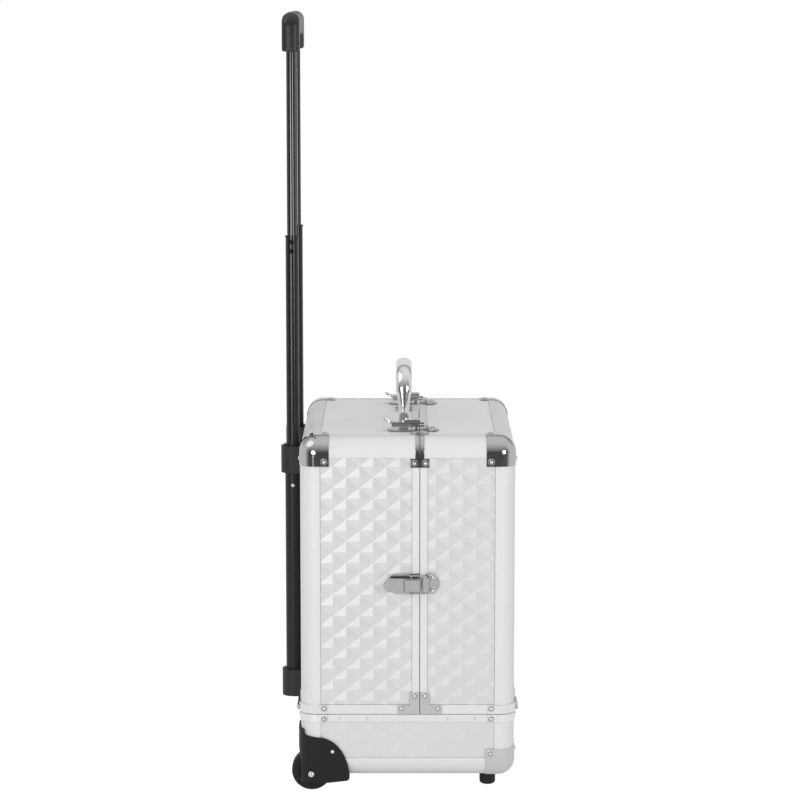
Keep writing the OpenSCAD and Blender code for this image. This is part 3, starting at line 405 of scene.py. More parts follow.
LOOKS = {
    # Painted light: the top is a paler, less metallic copy of the silver skin
    "top_skin": recipe("top_skin", 0.1, 0.4, cloud=14.0, drift=0.03, swing=0.08, grain=1100.0, depth=0.05),
    "silver_skin": recipe("skin", 0.35, 0.4, cloud=14.0, drift=0.03, swing=0.08, grain=1100.0, depth=0.05),
    "satin_rail": recipe("rail", 0.1, 0.45, drift=0.02, grain=1700.0, depth=0.06, round=0.0004, sheen=0.3),
    # Painted highlight on the bands beside the seam
    "satin_corner": recipe("grey_corner", 0.8, 0.3, grain=1500.0, depth=0.06, round=0.0004, bands=True),
    # Painted highlight on the bands beside the seam, and painted shade in the corners
    "bright_corner": recipe(
        "chrome", 1.0, 0.08,
        drift=0.02, swing=0.05, grain=700.0, depth=0.01, round=0.0004, grime=0.0012, bands=True,
    ),
    # Painted shade in the corners round the tabs and hooks
    "latch_metal": recipe(
        "nickel", 1.0, 0.2, drift=0.04, swing=0.08, grain=900.0, depth=0.02, round=0.0004, grime=0.002
    ),
    "handle_chrome": recipe(
        "bright", 1.0, 0.15, drift=0.02, swing=0.04, grain=600.0, depth=0.01, round=0.0006
    ),
    # Painted shade round the rivet heads
    "rivet": recipe("rivet", 1.0, 0.1, grain=1200.0, depth=0.02, grime=0.0009),
    "steel": recipe("zinc", 1.0, 0.32, drift=0.06, grain=1500.0, depth=0.06, round=0.0003),
    "black_plastic": recipe(
        "plastic", 0.0, 0.46,
        drift=0.12, grain=2300.0, depth=0.25, round=0.0009, sheen=0.22, wear=(0.05, 0.05, 0.052),
    ),
    "grip_plastic": recipe(
        "grip", 0.0, 0.44,
        drift=0.1, grain=2300.0, depth=0.2, round=0.0009, sheen=0.3, wear=(0.06, 0.06, 0.062),
    ),
    "gloss_plastic": recipe(
        "plastic", 0.0, 0.38, drift=0.1, grain=2300.0, depth=0.05, round=0.0009, sheen=0.65
    ),
    "black_tube": recipe("tube", 0.0, 0.34, drift=0.1, swing=0.05, depth=0.0, sheen=0.35),
    "rim_black": recipe("tube", 0.0, 0.7, drift=0.1, depth=0.0, sheen=0.1),
    "middle_tube": recipe("ink", 0.0, 0.24, cloud=3.0, drift=0.1, swing=0.02, depth=0.0),
    "inner_tube": recipe("ink", 0.0, 0.12, cloud=3.0, drift=0.1, swing=0.02, depth=0.0, sheen=0.8),
    "rubber": recipe("rubber", 0.0, 0.62, drift=0.15, grain=1900.0, depth=0.35, round=0.0006, sheen=0.3),
    "tray": recipe("tray", 0.0, 0.5, drift=0.1, grain=2100.0, depth=0.25, round=0.0005),
    "lining": recipe("lining", 0.0, 0.85, drift=0.2, grain=2600.0, depth=0.6),
    "board": recipe("board", 0.0, 0.75, drift=0.2, grain=900.0, depth=0.4, stretch=(1, 1, 6)),
}

# CAD nodes by finish
FRAME_NODES = {
    "satin_rail": (
        "base_edge_rails", "base_top_rails", "rear_edge_rails", "rear_trim_rails", "front_edge_rails",
        "front_trim_rails",
    ),
    "satin_corner": ("base_corner_hardware",),
    "bright_corner": ("rear_corner_hardware", "front_corner_hardware"),
}
LATCH_NODES = {
    "latch_metal": (
        "latch_base_plates", "latch_keepers", "base_hinge_leaves", "rear_hinge_leaves", "front_hinge_leaves",
        "left_top_lever", "right_top_lever", "left_side_lever", "right_side_lever",
        "left_top_hook", "right_top_hook", "left_side_hook", "right_side_hook",
    ),
}
HANDLE_NODES = {
    "steel": ("carry_handle_mounts",),
    "grip_plastic": ("trolley_brackets", "release_button"),
    "black_tube": ("outer_tubes",),
    "middle_tube": ("middle_tubes",),
    "inner_tube": ("inner_tubes",),
}
WHEEL_NODES = {
    "black_plastic": ("wheel_housings", "left_hub", "right_hub"),
    "rubber": ("left_tyre", "right_tyre", "rubber_feet"),
    "steel": ("wheel_axles",),
}
INSIDE_NODES = {
    "board": ("base_boards", "rear_boards", "front_boards"),
    "lining": ("base_lining", "rear_lining", "front_lining"),
    "tray": ("rear_lower_tray", "rear_upper_tray", "front_lower_tray", "front_upper_tray"),
    "steel": ("rear_tray_arms", "front_tray_arms", "rear_tray_pivots", "front_tray_pivots", "tray_arm_lugs"),
}


def get_finish(name):
    """The material of a finish, made when it is first asked for."""
    full_name = name + "_finish"
    made = bpy.data.materials.get(full_name)
    if made is None:
        tint_name, metallic, rough, look = LOOKS[name]
        tint = getattr(bpy.context.scene.case_colours, tint_name)
        made = material(full_name, tuple(tint), metallic, rough, look)
    return made


def paint(groups):
    """Gives CAD nodes their finishes."""
    for name, nodes in groups.items():
        for node in nodes:
            data = NODES[node].data
            data.materials.clear()
            data.materials.append(get_finish(name))


# Pieces
def poured(name, shape):
    """The mesh that a mesh under work becomes, which is freed."""
    data = bpy.data.meshes.new(name)
    shape.to_mesh(data)
    shape.free()
    return data


def linked(name, data):
    thing = bpy.data.objects.new(name, data)
    bpy.context.scene.collection.objects.link(thing)
    return thing


def result_of(thing):
    """A mesh under work with an object's modifiers applied."""
    shape = bmesh.new()
    shape.from_object(thing, bpy.context.evaluated_depsgraph_get())
    return shape


def discard(thing):
    data = thing.data
    bpy.data.objects.remove(thing)
    bpy.data.meshes.remove(data)


def new_piece(name, shape, finish, body, smooth_below=None):
    """A piece from a mesh under work; edges flatter than the given angle are shaded smooth."""
    data = poured(name, shape)
    data.materials.append(get_finish(finish))
    if smooth_below is not None:
        data.shade_smooth()
        data.set_sharp_from_angle(angle=math.radians(smooth_below))
    piece = linked(name, data)
    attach(piece, body)
    return piece


def pour(shape, part):
    """Adds one mesh under work to another and frees it."""
    carried = poured("part", part)
    shape.from_mesh(carried)
    bpy.data.meshes.remove(carried)


def corners_of(verts):
    """The lowest and highest corner of the box round some vertices."""
    places = [vert.co.copy() for vert in verts]
    low = Vector(min(place[k] for place in places) for k in range(3))
    high = Vector(max(place[k] for place in places) for k in range(3))
    return low, high


# Embossed skins
TIP_SEED = 7
# Shorter edges and smaller steps in depth, in metres, and flatter folds, in radians, don't count
SLIVER = 1e-7
LEVEL = 1e-9
FLAT_ANGLE = 0.01
# How far a face of a skin has to look up to take the top's finish, a paler copy that paints light on the top
LOOKS_UP = 0.9
# How far the wheel wells reach inward, and where one tip lies on an end wall of each body, as Y and Z
WELL_REACH = 0.04
REAR_TIP = (0.03247, 0.41415)
FRONT_TIP = (-0.07805, 0.3926)
BASE_TIP = (0.01675, 0.0674)


def clip(polygon, axis, limit, keep_above):
    """The part of a polygon of (u, v, depth) points on one side of a line."""
    kept = []
    for first, second in zip(polygon, polygon[1:] + polygon[:1]):
        first_in = (first[axis] >= limit) == keep_above
        second_in = (second[axis] >= limit) == keep_above
        if first_in:
            kept.append(first)
        if first_in != second_in:
            t = (limit - first[axis]) / (second[axis] - first[axis])
            kept.append(tuple(a + (b - a) * t for a, b in zip(first, second)))
    return kept


def clip_to(polygon, window):
    """The part of a polygon in a window of (low u, high u, low v, high v), if there is any."""
    for axis, limit, keep_above in zip((0, 0, 1, 1), window, (True, False, True, False)):
        if len(polygon) > 2:
            polygon = clip(polygon, axis, limit, keep_above)
    return polygon if len(polygon) > 2 else None


def diamond_facets(sizes, window, tip, valley):
    """Four facets for each pyramid whose tip lies on a staggered grid through the given tip."""
    half_w = sizes.diamond_w / 2
    half_h = sizes.diamond_h / 2
    low_i, high_i = (math.floor((w - tip[0]) / half_w) + k for w, k in zip(window[:2], (-1, 2)))
    low_j, high_j = (math.floor((w - tip[1]) / half_h) + k for w, k in zip(window[2:], (-1, 2)))
    draw = random.Random(TIP_SEED)
    depth = {}
    for i in range(low_i, high_i + 1):
        for j in range(low_j, high_j + 1):
            depth[i, j] = valley if (i + j) % 2 else sizes.peak + draw.random() * sizes.wander

    def point(i, j):
        return (tip[0] + i * half_w, tip[1] + j * half_h, depth[i, j])

    for i in range(low_i, high_i):
        for j in range(low_j, high_j):
            if (i + j) % 2 == 0:
                triples = ((i, j), (i + 1, j), (i, j + 1)), ((i + 1, j + 1), (i, j + 1), (i + 1, j))
            else:
                triples = ((i + 1, j), (i + 1, j + 1), (i, j)), ((i, j + 1), (i, j), (i + 1, j + 1))
            for triple in triples:
                facet = clip_to([point(*corner) for corner in triple], window)
                if facet:
                    yield facet


def add_skin(shape, sizes, windows, tip, to_frame, valley):
    """One closed sheet: facets in front, a flat back, and walls round its edge."""
    part = bmesh.new()
    for window in windows:
        for facet in diamond_facets(sizes, window, tip, valley):
            part.faces.new([part.verts.new(p) for p in facet])
    bmesh.ops.remove_doubles(part, verts=part.verts, dist=WELD)
    bmesh.ops.dissolve_degenerate(part, edges=part.edges, dist=SLIVER)
    rim = [e for e in part.edges if len(e.link_faces) == 1]
    back = {}
    for vert in list(part.verts):
        back[vert] = part.verts.new((vert.co.x, vert.co.y, sizes.back))
    for face in list(part.faces):
        part.faces.new([back[v] for v in reversed(face.verts)])
    for edge in rim:
        loop = edge.link_loops[0]
        first, second = loop.vert, loop.link_loop_next.vert
        part.faces.new((second, first, back[first], back[second]))
    backs = [f for f in part.faces if all(abs(v.co.z - sizes.back) < LEVEL for v in f.verts)]
    edges = list({e for f in backs for e in f.edges})
    verts = list({v for f in backs for v in f.verts})
    bmesh.ops.dissolve_limit(part, angle_limit=FLAT_ANGLE, verts=verts, edges=edges)
    for vert in part.verts:
        vert.co = to_frame @ Vector((vert.co.x, vert.co.y, -vert.co.z))
    bmesh.ops.recalc_face_normals(part, faces=part.faces)
    pour(shape, part)


def wall_x(place, sign):
    """Upright wall facing along X; u is Y and v is Z."""
    return Matrix(((0, 0, sign, place), (1, 0, 0, 0), (0, 1, 0, 0), (0, 0, 0, 1)))


def wall_y(place, sign):
    """Upright wall facing along Y; u is X and v is Z."""
    return Matrix(((1, 0, 0, 0), (0, 0, sign, place), (0, 1, 0, 0), (0, 0, 0, 1)))


def lid(place):
    """Top face; u is X and v is Y."""
    return Matrix(((1, 0, 0, 0), (0, 1, 0, 0), (0, 0, 1, place), (0, 0, 0, 1)))


def half_skin(sizes, side, rails_node, side_tip):
    """The skins of one half: outer wall, two end walls and the top."""
    low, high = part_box(rails_node)
    gap = sizes.edge_leg + sizes.gap
    near = (low.y if side > 0 else high.y) + side * (sizes.split_rail + sizes.gap)
    wall = high.y if side > 0 else low.y
    depth = tuple(sorted((near, wall - side * gap)))
    height = (low.z + sizes.half_rail + sizes.gap, high.z - gap)
    width = (low.x + gap, high.x - gap)
    middle = (height[0] + height[1]) / 2
    shape = bmesh.new()
    add_skin(shape, sizes, [width + height], (0, middle), wall_y(wall, side), sizes.valley)
    for end, place in zip(SIDES, (low.x, high.x)):
        add_skin(shape, sizes, [depth + height], side_tip, wall_x(place, end), sizes.valley)
    add_skin(shape, sizes, [width + depth], (0, (depth[0] + depth[1]) / 2), lid(high.z), sizes.top_valley)
    return shape


def base_skin(sizes, side_tip):
    """The skins of the base: two end walls, the front and the rear, with the wheel wells left out."""
    low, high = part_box("base_edge_rails")
    gap = sizes.edge_leg + sizes.gap
    height = (low.z + gap, high.z - sizes.base_rail - sizes.gap)
    depth = (low.y + gap, high.y - gap)
    width = (low.x + gap, high.x - gap)
    well = high.y - sizes.notch_y
    inner = high.x - WELL_REACH
    above = (sizes.notch_z, height[1])
    shape = bmesh.new()
    for end, place in zip(SIDES, (low.x, high.x)):
        windows = [(depth[0], well) + height, (well, depth[1]) + above]
        add_skin(shape, sizes, windows, side_tip, wall_x(place, end), sizes.base_valley)
    add_skin(shape, sizes, [width + height], (0, side_tip[1]), wall_y(low.y, -1), sizes.base_valley)
    windows = [(-inner, inner) + height, (width[0], -inner) + above, (inner, width[1]) + above]
    add_skin(shape, sizes, windows, (0, side_tip[1]), wall_y(high.y, 1), sizes.base_valley)
    return shape


class CASE_OT_skins(bpy.types.Operator):
    """Make the embossed skins of the base and the two halves"""

    bl_idname = "makeup_case.skins"
    bl_label = "Embossed Skins"

    def execute(self, context):
        sizes = context.scene.case_skin
        rear = half_skin(sizes, 1, "rear_edge_rails", REAR_TIP)
        front = half_skin(sizes, -1, "front_edge_rails", FRONT_TIP)
        base = base_skin(sizes, BASE_TIP)
        made = (
            ("rear_embossed_skins", rear, "rear_half", "rear_skins"),
            ("front_embossed_skins", front, "front_half", "front_skins"),
            ("base_embossed_skins", base, "base", "base_skins"),
        )
        for name, shape, body, node in made:
            piece = new_piece(name, shape, "silver_skin", body)
            # Faces that look up take the paler top finish: painted light on the top
            piece.data.materials.append(get_finish("top_skin"))
            for face in piece.data.polygons:
                face.material_index = 1 if face.normal.z > LOOKS_UP else 0
            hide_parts(node)
        return {"FINISHED"}


class CASE_OT_frame(bpy.types.Operator):
    """Finish the rails and corners"""

    bl_idname = "makeup_case.frame"
    bl_label = "Rails and Corners"

    def execute(self, context):
        paint(FRAME_NODES)
        return {"FINISHED"}


# Latches
TAB_BEVELS = 3


def joint_place(name):
    return Vector(next(joint["pos_m"] for joint in frame["joints"] if joint["name"] == name))


def raised_tab(sizes, pivot, outward):
    """A block with bevelled edges that stands half out of the lever, near its pivot."""
    tab = bmesh.new()
    bmesh.ops.create_cube(tab, size=1)
    bmesh.ops.scale(tab, vec=(sizes.tab_long, sizes.tab_wide, 2 * sizes.tab_rise), verts=tab.verts)
    bmesh.ops.bevel(
        tab, geom=list(tab.edges), offset=sizes.tab_rim, segments=TAB_BEVELS, profile=0.5, affect="EDGES",
        clamp_overlap=True,
    )
    forward = Vector((0, -1, 0))
    across = outward.cross(forward)
    centre = pivot + forward * sizes.tab_ahead + outward * sizes.tab_out
    turn = Matrix((forward, across, outward)).transposed().to_4x4()
    tab.transform(Matrix.Translation(centre) @ turn)
    return tab


class CASE_OT_latches(bpy.types.Operator):
    """Finish the latches and hinges and put the tabs on the levers"""

    bl_idname = "makeup_case.latches"
    bl_label = "Latches and Hinges"

    def execute(self, context):
        paint(LATCH_NODES)
        sizes = context.scene.case_latch
        for end, sign in zip(("left", "right"), SIDES):
            for place, outward in (("top", Vector((0, 0, 1))), ("side", Vector((sign, 0, 0)))):
                lever = f"{end}_{place}_lever"
                tab = raised_tab(sizes, joint_place(lever + "_pivot"), outward)
                new_piece(lever + "_tab", tab, "latch_metal", lever, SMOOTH_TABS)
        return {"FINISHED"}


# Rivets and caps
HEAD_STEPS = 5
HEAD_SIDES = 24
# Rivets whose feet lie this close to the rail face sit on the bare rail
ON_RAIL = 1e-5
# Rings of a pressed mark, in quarters of its radius, and how many times as far down the second mark lies
DIMPLE_QUARTERS = (3.9, 3, 2, 1)
SECOND_DIMPLE = 2.4


def solids_of(node):
    """The lowest and highest corner of each separate solid of a CAD node."""
    shape = bmesh.new()
    shape.from_mesh(NODES[node].data)
    bmesh.ops.remove_doubles(shape, verts=shape.verts, dist=WELD)
    seen = set()
    for start in shape.verts:
        if start in seen:
            continue
        seen.add(start)
        reached = [start]
        for vert in reached:
            for edge in vert.link_edges:
                other = edge.other_vert(vert)
                if other not in seen:
                    seen.add(other)
                    reached.append(other)
        yield corners_of(reached)
    shape.free()


def seat_of(low, high):
    """The foot of a rivet on its plate, and the way that it points."""
    thin = min(range(3), key=lambda k: high[k] - low[k])
    sign = 1 if low[thin] + high[thin] > 0 else -1
    foot = (low + high) / 2
    foot[thin] = low[thin] if sign > 0 else high[thin]
    outward = Vector((0, 0, 0))
    outward[thin] = sign
    return foot, outward


def dome_head(radius, rise, low=0.0):
    """Profile of a round head as (radius, height) pairs, from its rim to the axis."""
    angles = [math.radians(90 / HEAD_STEPS * k) for k in range(HEAD_STEPS + 1)]
    return [(radius * math.cos(a), low + rise * math.sin(a)) for a in angles]


def cup_head(sizes):
    """Profile of a rivet that sits in a stamped cup."""
    lip = sizes.cup_rise
    cup = [(sizes.cup, 0), (sizes.cup - lip, lip), (sizes.rivet + lip / 2, lip), (sizes.rivet, lip / 2)]
    return cup + dome_head(sizes.rivet, sizes.rivet_rise, lip)


def add_turned(shape, profile, foot, outward):
    """A turned head that stands on its foot; the profile ends on the axis."""
    turn = outward.to_track_quat("Z", "Y")
    angles = [math.tau * k / HEAD_SIDES for k in range(HEAD_SIDES)]
    rings = []
    for radius, height in profile[:-1]:
        ring = [Vector((radius * math.cos(a), radius * math.sin(a), height)) for a in angles]
        rings.append([shape.verts.new(foot + turn @ point) for point in ring])
    tip = shape.verts.new(foot + outward * profile[-1][1])
    for k in range(HEAD_SIDES):
        n = (k + 1) % HEAD_SIDES
        for first, second in zip(rings, rings[1:]):
            shape.faces.new((first[k], first[n], second[n], second[k]))
        shape.faces.new((rings[-1][k], rings[-1][n], tip))
    shape.faces.new(list(reversed(rings[0])))


def rivet_heads(sizes, node):
    """Heads for every rivet of a node: small on bare rails, plain on the wheel housings, cupped on plates."""
    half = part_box("base_edge_rails")[1]
    shape = bmesh.new()
    for low, high in solids_of(node):
        foot, outward = seat_of(low, high)
        on_rail = any(outward[k] and abs(abs(foot[k]) - half[k]) < ON_RAIL for k in (0, 1))
        if on_rail:
            profile = dome_head(sizes.rail_rivet, sizes.rail_rivet / 2)
        elif foot.y > 0 and foot.z < sizes.housing_top:
            profile = dome_head(sizes.rivet, sizes.rivet_rise)
        else:
            profile = cup_head(sizes)
        add_turned(shape, profile, foot, outward)
    return shape


def axle_caps(sizes):
    """One cap on each outer end of the axles."""
    low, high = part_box("wheel_axles")
    shape = bmesh.new()
    for sign, place in zip(SIDES, (low.x, high.x)):
        foot = Vector((place, (low.y + high.y) / 2, (low.z + high.z) / 2))
        add_turned(shape, dome_head(sizes.axle_cap, sizes.axle_cap / 2), foot, Vector((sign, 0, 0)))
    return shape


def tube_rivets(sizes):
    """One rivet near the top of each outer tube, on its outer side."""
    low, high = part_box("outer_tubes")
    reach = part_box("middle_tubes")[1].x + sizes.tube_wall
    shape = bmesh.new()
    for sign in SIDES:
        foot = Vector((sign * reach, (low.y + high.y) / 2, high.z - sizes.tube_rivet_drop))
        add_turned(shape, dome_head(sizes.rivet, sizes.rivet / 2), foot, Vector((sign, 0, 0)))
    return shape


def tube_dimples(sizes):
    """Two pressed rings near the top of each middle tube, wrapped round it."""
    low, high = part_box("middle_tubes")
    middle = (low.y + high.y) / 2
    radius = (high.y - low.y) / 2 - sizes.collar
    surface = high.x - sizes.collar
    lip = sizes.dimple_rise
    profile = [(sizes.dimple, 0)] + [(sizes.dimple * k / 4, lip) for k in DIMPLE_QUARTERS] + [(0, lip)]
    shape = bmesh.new()
    for sign in SIDES:
        for drop in (sizes.dimple_drop, SECOND_DIMPLE * sizes.dimple_drop):
            foot = Vector((sign * surface, middle, high.z - drop))
            add_turned(shape, profile, foot, Vector((sign, 0, 0)))
    for vert in shape.verts:
        reach = radius + abs(vert.co.x) - surface
        turn = (vert.co.y - middle) / radius
        vert.co.x = math.copysign(surface - radius + reach * math.cos(turn), vert.co.x)
        vert.co.y = middle + reach * math.sin(turn)
    return shape


class CASE_OT_fasteners(bpy.types.Operator):
    """Make the rivet heads, the axle caps and the pressed rings on the tubes"""

    bl_idname = "makeup_case.fasteners"
    bl_label = "Rivets and Caps"

    def execute(self, context):
        sizes = context.scene.case_rivet
        for body in ("base", "rear", "front"):
            node = body + "_rivets"
            carrier = body if body == "base" else body + "_half"
            heads = rivet_heads(sizes, node)
            piece = new_piece(body + "_rivet_heads", heads, "rivet", carrier, SMOOTH_HEADS)
            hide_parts(node)
        new_piece("axle_caps", axle_caps(sizes), "rivet", "base", SMOOTH_HEADS)
        new_piece("outer_tube_rivets", tube_rivets(sizes), "rivet", "rear_half", SMOOTH_HEADS)
        rings = tube_dimples(sizes)
        new_piece("middle_tube_dimples", rings, "rim_black", "middle_stage", SMOOTH_HEADS)
        return {"FINISHED"}


# Carry handle
# Degrees from the level of the pin at which the round end of a leg has its rings
EYE_TURNS = range(-84, 1, 14)
LEG_STEPS = 9
BEND_STEPS = 12
BAR_STEPS = 5
SECTION_SIDES = 28
BORE_SIDES = 32
# Length of the drill, as a multiple of half the handle's length
BORE_REACH = 2.2
# How fast the legs widen towards the bar
FLARE = 1.6


def sweep(path, section):
    """A closed tube: one ring of the section at each (place, across, out, width) of the path."""
    shape = bmesh.new()
    rings = []
    for place, across, out, width in path:
        rings.append([shape.verts.new(place + across * (u * width) + out * v) for u, v in section])
    for first, second in zip(rings, rings[1:]):
        for k in range(len(section)):
            n = (k + 1) % len(section)
            shape.faces.new((first[k], first[n], second[n], second[k]))
    shape.faces.new(list(reversed(rings[0])))
    shape.faces.new(rings[-1])
    bmesh.ops.recalc_face_normals(shape, faces=shape.faces)
    return shape


def dome(crown, hollow):
    """A section with a high crown outside and a low one inside, one unit wide each way."""
    points = []
    for k in range(SECTION_SIDES):
        turn = math.tau * k / SECTION_SIDES
        points.append((math.cos(turn), math.sin(turn) * (crown if math.sin(turn) > 0 else hollow)))
    return points


def handle_path(sizes, low, high):
    """From the left eye up, over the bar and down to the right eye."""
    across = Vector((0, 1, 0))
    middle = (low.y + high.y) / 2
    axis = low.z + sizes.eye
    inset = sizes.hollow
    bend = sizes.bend - inset
    half = []
    for degrees in EYE_TURNS:
        turn = math.radians(degrees)
        taper = math.cos(turn)
        half.append((low.x + inset, axis + sizes.eye * math.sin(turn), (-taper, 0), taper * sizes.eye))
    top = high.z - sizes.bend
    for k in range(1, LEG_STEPS):
        share_up = k / LEG_STEPS
        wide = sizes.eye + (sizes.grip - sizes.eye) * share_up ** FLARE
        half.append((low.x + inset, axis + (top - axis) * share_up, (-1, 0), wide))
    for k in range(BEND_STEPS + 1):
        turn = math.radians(90 / BEND_STEPS * k)
        out = (-math.cos(turn), math.sin(turn))
        half.append((low.x + sizes.bend + out[0] * bend, top + out[1] * bend, out, sizes.grip))
    for k in range(1, BAR_STEPS):
        along = low.x + sizes.bend + (-low.x - sizes.bend) * k / BAR_STEPS
        half.append((along, high.z - inset, (0, 1), sizes.grip))
    half.append((0.0, high.z - inset, (0, 1), sizes.grip))
    whole = half + [(-x, z, (-out[0], out[1]), wide) for x, z, out, wide in reversed(half[:-1])]
    return [(Vector((x, middle, z)), across, Vector((out[0], 0, out[1])), wide) for x, z, out, wide in whole]


def bored(shape, sizes, low, high):
    """The bow with a hole through both eyes for its pins."""
    turn = Matrix.Rotation(math.pi / 2, 4, "Y")
    axis = Matrix.Translation((0, (low.y + high.y) / 2, low.z + sizes.eye)) @ turn
    pin = bmesh.new()
    bmesh.ops.create_cone(
        pin, cap_ends=True, segments=BORE_SIDES, radius1=sizes.bore, radius2=sizes.bore,
        depth=BORE_REACH * high.x, matrix=axis,
    )
    bow = linked("bow", poured("bow", shape))
    drill = linked("drill", poured("drill", pin))
    cut = bow.modifiers.new("bore", "BOOLEAN")
    cut.operation = "DIFFERENCE"
    cut.object = drill
    result = result_of(bow)
    discard(bow)
    discard(drill)
    return result


class CASE_OT_carry_handle(bpy.types.Operator):
    """Make the bow of the carry handle"""

    bl_idname = "makeup_case.carry_handle"
    bl_label = "Carry Handle"

    def execute(self, context):
        sizes = context.scene.case_handle
        low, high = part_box("carry_handle")
        crown = sizes.crown - sizes.hollow
        inward = crown - sizes.hollow
        path = [
            (place - out * inward, across, out, wide)
            for place, across, out, wide in handle_path(sizes, low, high)
        ]
        bow = bored(sweep(path, dome(crown, sizes.hollow)), sizes, low, high)
        piece = new_piece(
            "carry_handle_bow", bow, "handle_chrome", "carry_handle", SMOOTH_HANDLES
        )
        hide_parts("carry_handle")
        return {"FINISHED"}


# Trolley grip
GRIP_WELD = 1e-5
GRIP_ROUNDING = 0.5


def pocket_of(sizes):
    """The room that the release button and its travel take up, open at the top."""
    low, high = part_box("release_button")
    room = Vector((1, 1, 1)) * sizes.button_room
    return low - room - Vector((0, 0, sizes.button_travel)), high + room


def inside(place, low, high):
    return all(low[k] < place[k] < high[k] for k in range(3))


def softened(node, sizes):
    """A copy of a CAD node with its edges rounded outside the pocket, which still fills the node's box."""
    copy = linked(node + "_copy", NODES[node].data.copy())
    weld = copy.modifiers.new("weld", "WELD")
    weld.merge_threshold = GRIP_WELD
    remesh = copy.modifiers.new("remesh", "REMESH")
    remesh.mode = "VOXEL"
    remesh.voxel_size = sizes.grip_voxel
    shape = result_of(copy)
    discard(copy)
    rim = Vector((1, 1, 1)) * sizes.grip_voxel
    pocket_low, pocket_high = pocket_of(sizes)
    free = [vert for vert in shape.verts if not inside(vert.co, pocket_low - rim, pocket_high + rim)]
    for _ in range(sizes.grip_rounds):
        bmesh.ops.smooth_vert(
            shape, verts=free, factor=GRIP_ROUNDING, use_axis_x=True, use_axis_y=True, use_axis_z=True
        )
    low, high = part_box(node)
    shrunk_low, shrunk_high = corners_of(shape.verts)
    for vert in shape.verts:
        for k in range(3):
            up = (vert.co[k] - shrunk_low[k]) / (shrunk_high[k] - shrunk_low[k])
            vert.co[k] = low[k] + (high[k] - low[k]) * up
    return shape


def crown_ends(shape, node, sizes):
    """Rounds the outer faces of the grip's legs across their width, up over its corners."""
    low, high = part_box(node)
    centre_x, centre_z = high.x - sizes.grip_corner, high.z - sizes.grip_corner
    middle, half = (low.y + high.y) / 2, (high.y - low.y) / 2
    for vert in shape.verts:
        over = abs(vert.co.x) - centre_x
        if over <= 0:
            continue
        off = min(1.0, abs(vert.co.y - middle) / half)
        limit = sizes.grip_corner - sizes.grip_crown * (1 - math.sqrt(1 - off * off))
        up = max(0.0, vert.co.z - centre_z)
        shrink = min(1.0, limit / math.hypot(over, up))
        vert.co.x = math.copysign(centre_x + over * shrink, vert.co.x)
        if up > 0:
            vert.co.z = centre_z + up * shrink


def clear_pocket(shape, sizes):
    """Pushes what the remeshing left in the release button's pocket back to its walls, floor and corners."""
    low, high = pocket_of(sizes)
    for vert in shape.verts:
        place = vert.co
        if inside(place, low, high):
            walls = [(place[k] - low[k], k, low[k]) for k in range(3)]
            walls += [(high[k] - place[k], k, high[k]) for k in (0, 1)]
            near = max(2 * sizes.grip_voxel, min(walls)[0])
            for distance, axis, wall in walls:
                if distance <= near:
                    vert.co[axis] = wall


class CASE_OT_trolley_grip(bpy.types.Operator):
    """Make the moulded grip of the trolley handle"""

    bl_idname = "makeup_case.trolley_grip"
    bl_label = "Trolley Grip"

    def execute(self, context):
        sizes = context.scene.case_handle
        shape = softened("trolley_grip", sizes)
        crown_ends(shape, "trolley_grip", sizes)
        clear_pocket(shape, sizes)
        piece = new_piece(
            "trolley_grip_shell", shape, "gloss_plastic", "inner_stage", SMOOTH_HANDLES
        )
        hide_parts("trolley_grip")
        return {"FINISHED"}


class CASE_OT_handles(bpy.types.Operator):
    """Finish the trolley handle and the mounts of the carry handle"""

    bl_idname = "makeup_case.handles"
    bl_label = "Handles"

    def execute(self, context):
        paint(HANDLE_NODES)
        return {"FINISHED"}


class CASE_OT_wheels(bpy.types.Operator):
    """Finish the wheels, housings and feet"""

    bl_idname = "makeup_case.wheels"
    bl_label = "Wheels and Feet"

    def execute(self, context):
        paint(WHEEL_NODES)
        return {"FINISHED"}


class CASE_OT_inside(bpy.types.Operator):
    """Finish the boards, lining and trays"""

    bl_idname = "makeup_case.inside"
    bl_label = "Inside"

    def execute(self, context):
        paint(INSIDE_NODES)
        return {"FINISHED"}


# Stage
FLOOR_REACH = 2.05
FLOOR_SIDES = 96
FLOOR_GREY = 0.68
FLOOR_WHITE = 1.12
# How much of the floor's white shows to the camera, and in metal and gloss
FLOOR_GLOW = 0.9
FLOOR_MIRRORED = 0.48
ROOM_BRIGHT = 0.74
ROOM_DARK = 0.08
# Where the dim parts of the room end and how sharply: the camera's side, and a band behind the case
DIM_FRONT = (-0.2, 2.2)
DIM_CEILING = (0.95, 1.1)
BAND_NEAR = (0.3, 4.0)
BAND_FOOT = (0.2, 8.0)
BAND_HEAD = (0.8, 8.0)
BAND_DIMNESS = 0.5
# Name, place, target, width and setting for the power of each lamp
LAMPS = (
    ("left_lamp", (-2.35, 0.88, 0.48), (-0.175, 0.05, 0.25), 0.85, "key"),
    ("right_lamp", (-2.1, -1.35, 0.6), (-0.175, -0.05, 0.25), 0.75, "fill"),
    ("high_lamp", (-0.7, 1.5, 2.3), (0, 0, 0.4), 1.9, "top"),
)
SENSOR_WIDTH = 36
FARTHEST = 100


def seen_rays(finish):
    """Rays that look straight at the stage, at its mirror image, or at it through something clear."""
    kinds = ("Is Camera Ray", "Is Glossy Ray", "Is Transmission Ray")
    return finish.node("ShaderNodeLightPath", {}, {}, kinds)


